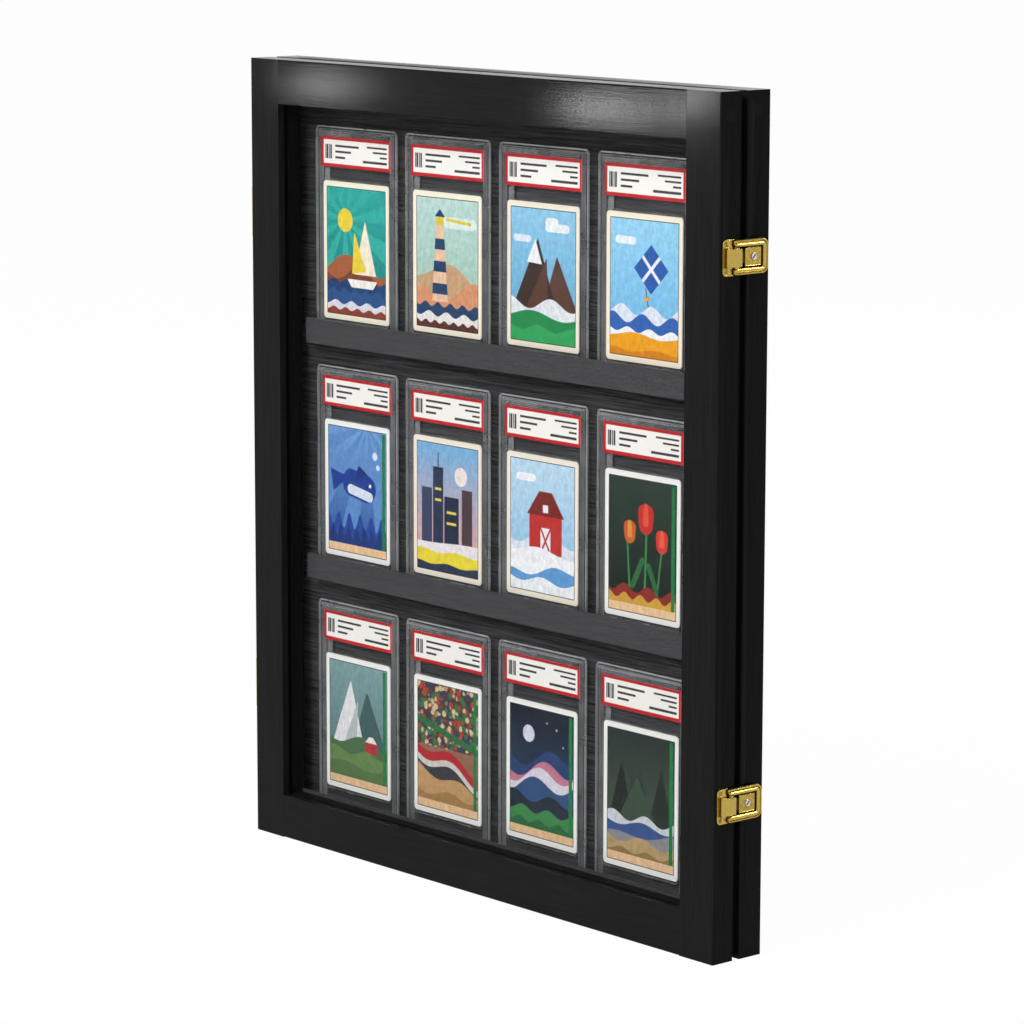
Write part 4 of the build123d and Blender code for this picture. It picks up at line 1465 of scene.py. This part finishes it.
class CASE_OT_latches(bpy.types.Operator):
    """Builds both ring latches with their claws, keepers, housings and key cylinders"""

    bl_idname = "card_case.latches"
    bl_label = "Latches"

    def execute(self, context):
        metal = brass()
        z = latch_height("upper")
        drop = Vector((0, 0, latch_height("lower") - z))
        makers = {
            "ring": (ring_piece, "latch_ring_", "ring_", (metal,), "polished_brass"),
            "claw": (claw_piece, "latch_claw_", "claw_", (metal,), "polished_brass"),
            "base": (base_piece, "latch_base_", None, (), "polished_brass"),
            "plug": (cylinder_piece, "lock_cylinder_", "lock_", (), "nickel_cylinder"),
        }
        for name, (maker, node, body, materials, slot) in makers.items():
            first = maker("latch_" + name + "_upper_piece", z)
            second = copy_of(first, "latch_" + name + "_lower_piece", drop)
            for piece, level in ((first, "upper"), (second, "lower")):
                dress(piece, body + level if body else "case", slot, [node + level], *materials)
        for level in LEVELS:
            eased_copy("latch_keeper_" + level, 0.16 * MM, metal, "polished_brass")
        return {"FINISHED"}


# ---- operators: slabs and cards --------------------------------------------------------------------------
def slab_piece(plastics):
    """One slab: a thin flange round a raised shell, a rib round the card and ridges at the top."""
    low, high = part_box("slab_case_r1c1")
    card_low, card_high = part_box("card_insert_r1c1")
    flange, rim, rib = sizes().slab_flange, sizes().slab_rim, sizes().well_rib
    x, y, z = (low + high) / 2
    rise = (high.y - low.y - flange) / 2
    edge = 0.9 * MM
    shell = block("slab", (low.x, y - flange / 2, low.z), (high.x, y + flange / 2, high.z))
    round_edges(shell, lambda middle, way: abs(way.y) > 0.9, 3.0 * MM, 5)
    for way in (-1, 1):
        inside = lambda middle, normal: normal.y * way > 0.9 and (middle - Vector((x, middle.y, z))).length < 10 * MM
        inset_faces(shell, inside, edge)
        inset_faces(shell, inside, rim - edge)
        inset_faces(shell, inside, 0.6 * MM, rise)
    ease(shell, 0.25 * MM)
    face_y = low.y
    card_top = card_low.z + 89 * MM
    well = block(
        "well",
        (x - 33.6 * MM - rib, face_y + 1.6 * MM, card_low.z - 0.6 * MM - rib),
        (x + 33.6 * MM + rib, face_y + 2.4 * MM, card_top + 0.6 * MM + rib),
    )
    round_edges(well, lambda middle, way: abs(way.y) > 0.9, 3.2 * MM, 5)
    inset_faces(well, lambda middle, normal: abs(normal.y) > 0.9, rib)
    pick_faces(
        well,
        lambda middle, normal: abs(normal.y) > 0.9 and abs(middle.x - x) < 10 * MM and abs(middle.z - card_top + 44.5 * MM) < 10 * MM,
    )
    bpy.ops.mesh.bridge_edge_loops()
    close()
    ease(well, 0.15 * MM)
    label_top = card_high.z
    inside_top = high.z - rim - 1.2 * MM
    room = inside_top - label_top
    ridges = []
    for place in range(sizes().ridges):
        ridge_z = label_top + room * (place + 0.7) / sizes().ridges
        ridge = block(
            "ridge",
            (x - 36 * MM, face_y + 0.2 * MM, ridge_z - 0.3 * MM),
            (x + 36 * MM, face_y + 0.7 * MM, ridge_z + 0.3 * MM),
        )
        ridges.append(ease(ridge, 0.12 * MM))
    pad = block(
        "pad",
        (x - 36.5 * MM, y + 0.8 * MM, label_top - 2 * MM),
        (x + 29.5 * MM, y + 1.3 * MM, inside_top),
    )
    band = block(
        "band",
        (x - 34 * MM, y + 1.5 * MM, card_top - 2 * MM),
        (x - 29.2 * MM, y + 2.0 * MM, inside_top),
    )
    thick = block(
        "thick",
        (x - 36.5 * MM, y + 0.4 * MM, label_top - 2 * MM),
        (x - 6 * MM, y + 0.7 * MM, inside_top),
    )
    for part in (pad, band, thick):
        ease(part, 0.1 * MM)
    for part in (shell, well, *ridges, pad, band, thick):
        for plastic in plastics:
            part.data.materials.append(plastic)
    paint(
        shell,
        lambda middle, normal: abs(normal.y) < 0.97
        or min(middle.x - low.x, high.x - middle.x, middle.z - low.z, high.z - middle.z) < edge,
        1,
    )
    for part, place in ((well, 3), (pad, 2), (band, 4), (thick, 4), *((ridge, 3) for ridge in ridges)):
        paint(part, lambda middle, normal: True, place)
    return join(shell, well, *ridges, pad, band, thick)


class CASE_OT_slabs(bpy.types.Operator):
    """Builds the twelve clear slabs"""

    bl_idname = "card_case.slabs"
    bl_label = "Slabs"

    def execute(self, context):
        tint = colours().plastic
        plastics = (
            clear("slab_clear", 1.05, (0.018, 0.03), 0.03, tint),
            clear("slab_rim", 1.15, (0.3, 0.46), 0.12, tint),
            clear("slab_header", 1.04, (0.06, 0.09), 0.2, tint),
            clear("slab_rib", 1.06, (0.06, 0.1), 0.2, tint),
            clear("slab_pad", 1.04, (0.17, 0.23), 0.2, tint),
        )
        first = slab_piece(plastics)
        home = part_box("slab_case_r1c1")[0]
        for row in ROWS:
            for column in COLUMNS:
                key = f"r{row}c{column}"
                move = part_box("slab_case_" + key)[0] - home
                piece = copy_of(first, "slab_" + key + "_shell", move)
                dress(piece, "slab_" + key, "clear_slab_plastic", ["slab_case_" + key])
        bpy.data.objects.remove(first)
        return {"FINISHED"}


class CASE_OT_cards(bpy.types.Operator):
    """Prints the twelve cards and their labels"""

    bl_idname = "card_case.cards"
    bl_label = "Cards"

    def execute(self, context):
        for key in CARDS:
            insert = NODES["card_insert_" + key]
            insert.data.materials.clear()
            insert.data.materials.append(card_print(key))
        return {"FINISHED"}


# ---- stage ------------------------------------------------------------------------------------------------
def seen_directly(tree):
    """1 for what the camera, a gloss or clear plastic sees, 0 for light on its way to a surface."""
    path = tree.nodes.new("ShaderNodeLightPath").outputs
    direct = reckon(tree, "MAXIMUM", path["Is Camera Ray"], path["Is Glossy Ray"])
    return reckon(tree, "MAXIMUM", direct, path["Is Transmission Ray"])


class CASE_OT_stage(bpy.types.Operator):
    """Sets up the floor, the soft lamps, the background and the camera"""

    bl_idname = "card_case.stage"
    bl_label = "Stage"

    def execute(self, context):
        scene = context.scene
        self.floor()
        self.background(scene)
        self.lamps()
        self.camera(scene)
        scene.view_settings.view_transform = "Standard"
        return {"FINISHED"}

    def floor(self):
        start_clean()
        bpy.ops.mesh.primitive_plane_add(size=40)
        floor = settle("floor")
        material, tree, shader, place = surface("pale_floor", Roughness=0.9)
        shade_drift = ramp(tree, noise(tree, place, 3.0), 0.3, 0.7, 0.99, 1.0)
        feed(tree, shader, Base_Color=shade(tree, colours().floor, shade_drift))
        glow = wire(tree, "ShaderNodeEmission", {"Color": (1, 1, 1, 1), "Strength": 1.0})
        seen = reckon(tree, "MULTIPLY", seen_directly(tree), 0.98)
        mixed = wire(
            tree, "ShaderNodeMixShader", {0: seen, 1: shader.outputs[0], 2: glow.outputs[0]}
        )
        tree.links.new(mixed.outputs[0], tree.nodes["Material Output"].inputs["Surface"])
        floor.data.materials.append(material)

    def background(self, scene):
        world = bpy.data.worlds.new("soft_studio")
        scene.world = world
        world.use_nodes = True
        tree = world.node_tree
        soft = tree.nodes["Background"]
        soft.inputs["Color"].default_value = (1, 1, 1, 1)
        soft.inputs["Strength"].default_value = stage_settings().ambient
        up = wire(
            tree,
            "ShaderNodeSeparateXYZ",
            {0: tree.nodes.new("ShaderNodeTexCoord").outputs["Generated"]},
        ).outputs["Z"]
        white = wire(
            tree,
            "ShaderNodeBackground",
            {"Color": (1, 1, 1, 1), "Strength": ramp(tree, up, 0.35, 0.8, 1.0, 0.25)},
        )
        mixed = wire(
            tree,
            "ShaderNodeMixShader",
            {0: seen_directly(tree), 1: soft.outputs[0], 2: white.outputs[0]},
        )
        tree.links.new(mixed.outputs[0], tree.nodes["World Output"].inputs["Surface"])

    def lamp(self, name, place, aim, size, power):
        start_clean()
        turn = (Vector(aim) - Vector(place)).to_track_quat("-Z", "Y").to_euler()
        bpy.ops.object.light_add(type="AREA", radius=1, location=place, rotation=turn)
        lamp = bpy.context.object
        lamp.name = name
        lamp.data.shape = "RECTANGLE"
        lamp.data.size, lamp.data.size_y = size
        lamp.data.energy = power
        return lamp

    def lamps(self):
        aim = (0, 0, 0.25)
        self.lamp("key", (0.1, -2.0, 2.0), aim, (1.3, 1.3), stage_settings().key)
        self.lamp("back_fill", (-1.2, 2.4, 1.4), aim, (1.5, 1.5), 18.0)
        edge_light = self.lamp("brass_light", (0.93, 0.97, 1.12), (SIDE_X, 0, 0.28), (0.4, 0.4), 14.0)
        edge_light.visible_diffuse = False
        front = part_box("door_rail_top")[0].y
        for name, across, high, run, size, power in (
            ("glow_left", -0.143, 0.503, 0.25, (0.03, 0.02), 0.14),
            ("glow_middle", 0.125, 0.503, 0.25, (0.05, 0.02), 0.32),
            ("glow_right", 0.205, 0.51, 0.25, (0.04, 0.02), 0.2),
        ):
            point = Vector((across, front, high))
            lamp = self.lamp(name, self.mirrored(point, run), point, size, power)
            lamp.visible_diffuse = False

    def mirrored(self, point, run):
        """Where a lamp stands to shine back to the camera from a point on the case's front."""
        ray = (point - Vector(stage_settings().camera_place)).normalized()
        return point + Vector((ray.x, -ray.y, ray.z)) * run

    def camera(self, scene):
        settings = stage_settings()
        start_clean()
        bpy.ops.object.camera_add(location=settings.camera_place)
        camera = bpy.context.object
        camera.name = "camera"
        facing = Euler((math.radians(90) - settings.camera_tilt, 0, settings.camera_turn)).to_matrix()
        camera.rotation_euler = (facing @ Matrix.Rotation(settings.camera_roll, 3, "Z")).to_euler()
        camera.data.sensor_width = 36
        camera.data.lens = settings.camera_lens
        camera.data.clip_start, camera.data.clip_end = 0.05, 100
        scene.camera = camera


# ---- panel and registration ---------------------------------------------------------------------------------
OPERATORS = (
    CASE_OT_boards,
    CASE_OT_lining,
    CASE_OT_pane,
    CASE_OT_hinges,
    CASE_OT_latches,
    CASE_OT_slabs,
    CASE_OT_cards,
    CASE_OT_stage,
)


class CASE_PT_panel(bpy.types.Panel):
    """The case's sizes, colours and building steps"""

    bl_idname = "CASE_PT_panel"
    bl_label = "Card Case"
    bl_space_type = "VIEW_3D"
    bl_region_type = "UI"
    bl_category = "Card Case"

    def draw(self, context):
        layout = self.layout
        for title, group in (
            ("Sizes", context.scene.card_case_sizes),
            ("Colours", context.scene.card_case_colours),
            ("Stage", context.scene.card_case_stage),
        ):
            box = layout.box()
            box.label(text=title)
            for name in group.__annotations__:
                box.prop(group, name)
        for operator in OPERATORS:
            layout.operator(operator.bl_idname)


CLASSES = (CaseSizes, CaseColours, StageSettings, *OPERATORS, CASE_PT_panel)


def register():
    for one in CLASSES:
        bpy.utils.register_class(one)
    bpy.types.Scene.card_case_sizes = PointerProperty(type=CaseSizes)
    bpy.types.Scene.card_case_colours = PointerProperty(type=CaseColours)
    bpy.types.Scene.card_case_stage = PointerProperty(type=StageSettings)


def unregister():
    del bpy.types.Scene.card_case_stage
    del bpy.types.Scene.card_case_colours
    del bpy.types.Scene.card_case_sizes
    for one in reversed(CLASSES):
        bpy.utils.unregister_class(one)


def main():
    register()
    bpy.ops.card_case.boards()
    bpy.ops.card_case.lining()
    bpy.ops.card_case.pane()
    bpy.ops.card_case.hinges()
    bpy.ops.card_case.latches()
    bpy.ops.card_case.slabs()
    bpy.ops.card_case.cards()
    bpy.ops.card_case.stage()


if __name__ == "__main__":
    main()
